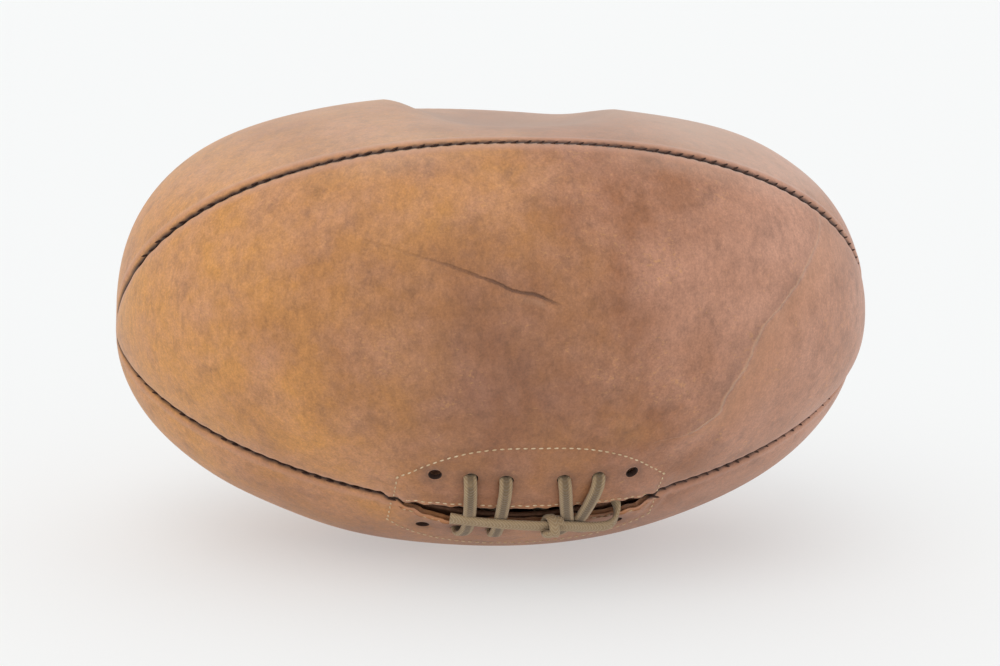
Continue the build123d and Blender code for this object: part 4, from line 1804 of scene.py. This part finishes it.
    def hitch(self) -> bpy.types.Object:
        """Wrap the hitch round the tail.

        Returns:
            The hitch.
        """
        route = self.route()
        centre = (route[2] + route[3]) / 2
        axis = route[3] - route[2]
        axis /= np.linalg.norm(axis)
        out = np.array([0.0, -0.804, -0.595])
        out -= out.dot(axis) * axis
        out /= np.linalg.norm(out)
        side = np.cross(axis, out)
        turn = np.linspace(-0.2, 2.0 * np.pi * 1.85, 96)
        swell = 1.0 + 0.10 * np.sin(turn * 0.5)
        radius = (3.05 * MM) * swell
        shift = (turn / (2 * np.pi) - 0.92) * 2.5 * MM
        wrap = (
            centre
            + axis * (shift + 0.5 * MM * np.sin(turn))[:, None]
            + out * (radius * np.cos(turn))[:, None]
            + side * (1.08 * radius * np.sin(turn))[:, None]
        )
        steps = np.linalg.norm(np.diff(wrap, axis=0), axis=1)
        travelled = np.concatenate([[0.0], np.cumsum(steps)])
        wide = np.broadcast_to(axis, wrap.shape) + 0.25 * side * np.cos(turn)[:, None]
        piece = self.ribbon("lace_hitch", wrap, wide, travelled, np.full(len(turn), 0.82))
        rings = len(turn) * self.sides
        set_marks(piece.data, {"soil": np.full(rings + 2, self.hitch_soil)})
        return piece


@dataclass
class Studio:
    """The floor, the lights and the camera."""

    form: CasingForm
    distance: float = 0.873
    elevation: float = 10.6
    azimuth: float = -9.2
    lean: float = -1.17
    roll: float = 0.53
    side_shift: float = 2.35 * MM
    up_shift: float = -1.27 * MM
    lens: float = 82.5

    def floor(self) -> None:
        """Lay the plain pale floor."""
        size = 14.0
        points = np.array([[-size, -size, 0], [size, -size, 0], [size, size, 0], [-size, size, 0]])
        floor = new_piece("floor", points, [(0, 1, 2, 3)], False)
        bench = NodeBench.start("pale_floor")
        finish = bench.finish(
            Base_Color=(0.47, 0.475, 0.47, 1.0),
            Roughness=0.9,
            Specular_IOR_Level=0.05,
            Emission_Color=(0.985, 0.995, 1.0, 1.0),
            Emission_Strength=0.42,
        )
        floor.data.materials.append(finish)

    def lights(self) -> None:
        """Hang the soft lights, and fill the room with pale light."""
        world = bpy.data.worlds.new("studio")
        world.use_nodes = True
        background = world.node_tree.nodes["Background"]
        background.inputs["Color"].default_value = (0.985, 0.992, 1.0, 1.0)
        background.inputs["Strength"].default_value = 0.78
        bpy.context.scene.world = world
        for name, place, spread, power in (
            ("key", (-0.75, -0.9, 1.5), 55.0, 0.75),
            ("top", (0.1, 0.5, 1.6), 70.0, 0.45),
        ):
            data = bpy.data.lights.new(name, "SUN")
            data.angle, data.energy = math.radians(spread), power
            lamp = bpy.data.objects.new(name, data)
            lamp.location = place
            lamp.rotation_euler = (-Vector(place)).to_track_quat("-Z", "Y").to_euler()
            bpy.context.scene.collection.objects.link(lamp)

    def camera(self) -> None:
        """Place the camera in front of the laced side, a little above the ball."""
        yaw, tilt, lean = map(math.radians, (self.azimuth, self.elevation, self.lean))
        level = math.cos(tilt)
        back = Vector((math.sin(yaw) * level, -math.cos(yaw) * level, math.sin(tilt)))
        right = Vector((math.cos(yaw), math.sin(yaw), 0.0))
        up = back.cross(right)
        eye = back * self.distance + right * self.side_shift + up * self.up_shift
        turn = Matrix.Rotation(math.radians(self.roll), 3, back)
        basis = Matrix((turn @ right, turn @ up, back)).transposed()
        settle = Matrix.Rotation(lean, 3, "Y")
        basis, eye = settle @ basis, settle @ eye
        data = bpy.data.cameras.new("camera")
        data.lens, data.sensor_width = self.lens, 36.0
        data.clip_start, data.clip_end = 0.05, 60.0
        camera = bpy.data.objects.new("camera", data)
        camera.matrix_world = Matrix.Translation(eye + Vector((0, 0, self.form.axis_height))) @ (
            basis.to_4x4()
        )
        bpy.context.scene.collection.objects.link(camera)
        bpy.context.scene.camera = camera


def dress_node(node: bpy.types.Object, material: bpy.types.Material) -> None:
    """Give a carried-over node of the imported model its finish."""
    node.data.materials.clear()
    node.data.materials.append(material)


def main() -> None:
    """Build the ball and its surroundings."""
    logging.basicConfig(level=logging.INFO, format="%(name)s: %(message)s")
    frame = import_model()
    form = CasingForm()
    studio = Studio(form)
    studio.camera()
    studio.floor()
    studio.lights()
    bpy.context.scene.view_settings.view_transform = "Standard"
    casing = Casing(form, SkinRelief(form))
    casing.build(AgedLeather().make())
    Lace(casing).build(BraidedCotton().make())
    dark_thread = WaxedThread("seam_thread", (0.045, 0.022, 0.016), (0.10, 0.05, 0.035))
    casing.sew(dark_thread.make())
    linings = SlotLinings(casing)
    facing = PlainLeather("facing_leather", (0.16, 0.075, 0.045), (0.30, 0.15, 0.085))
    linings.facings(facing.make())
    pale_thread = WaxedThread("facing_thread", (0.58, 0.42, 0.25), (0.80, 0.66, 0.46))
    linings.sewing(pale_thread.make())
    tongue = PlainLeather("tongue_leather", (0.10, 0.032, 0.026), (0.19, 0.07, 0.05))
    linings.tongue(tongue.make())
    dress_node(frame["nodes"]["bladder"], OldRubber().make())
    tie = WaxedThread("tie_cord", (0.30, 0.23, 0.14), (0.52, 0.43, 0.29))
    dress_node(frame["nodes"]["stem_tie"], tie.make())


if __name__ == "__main__":
    main()
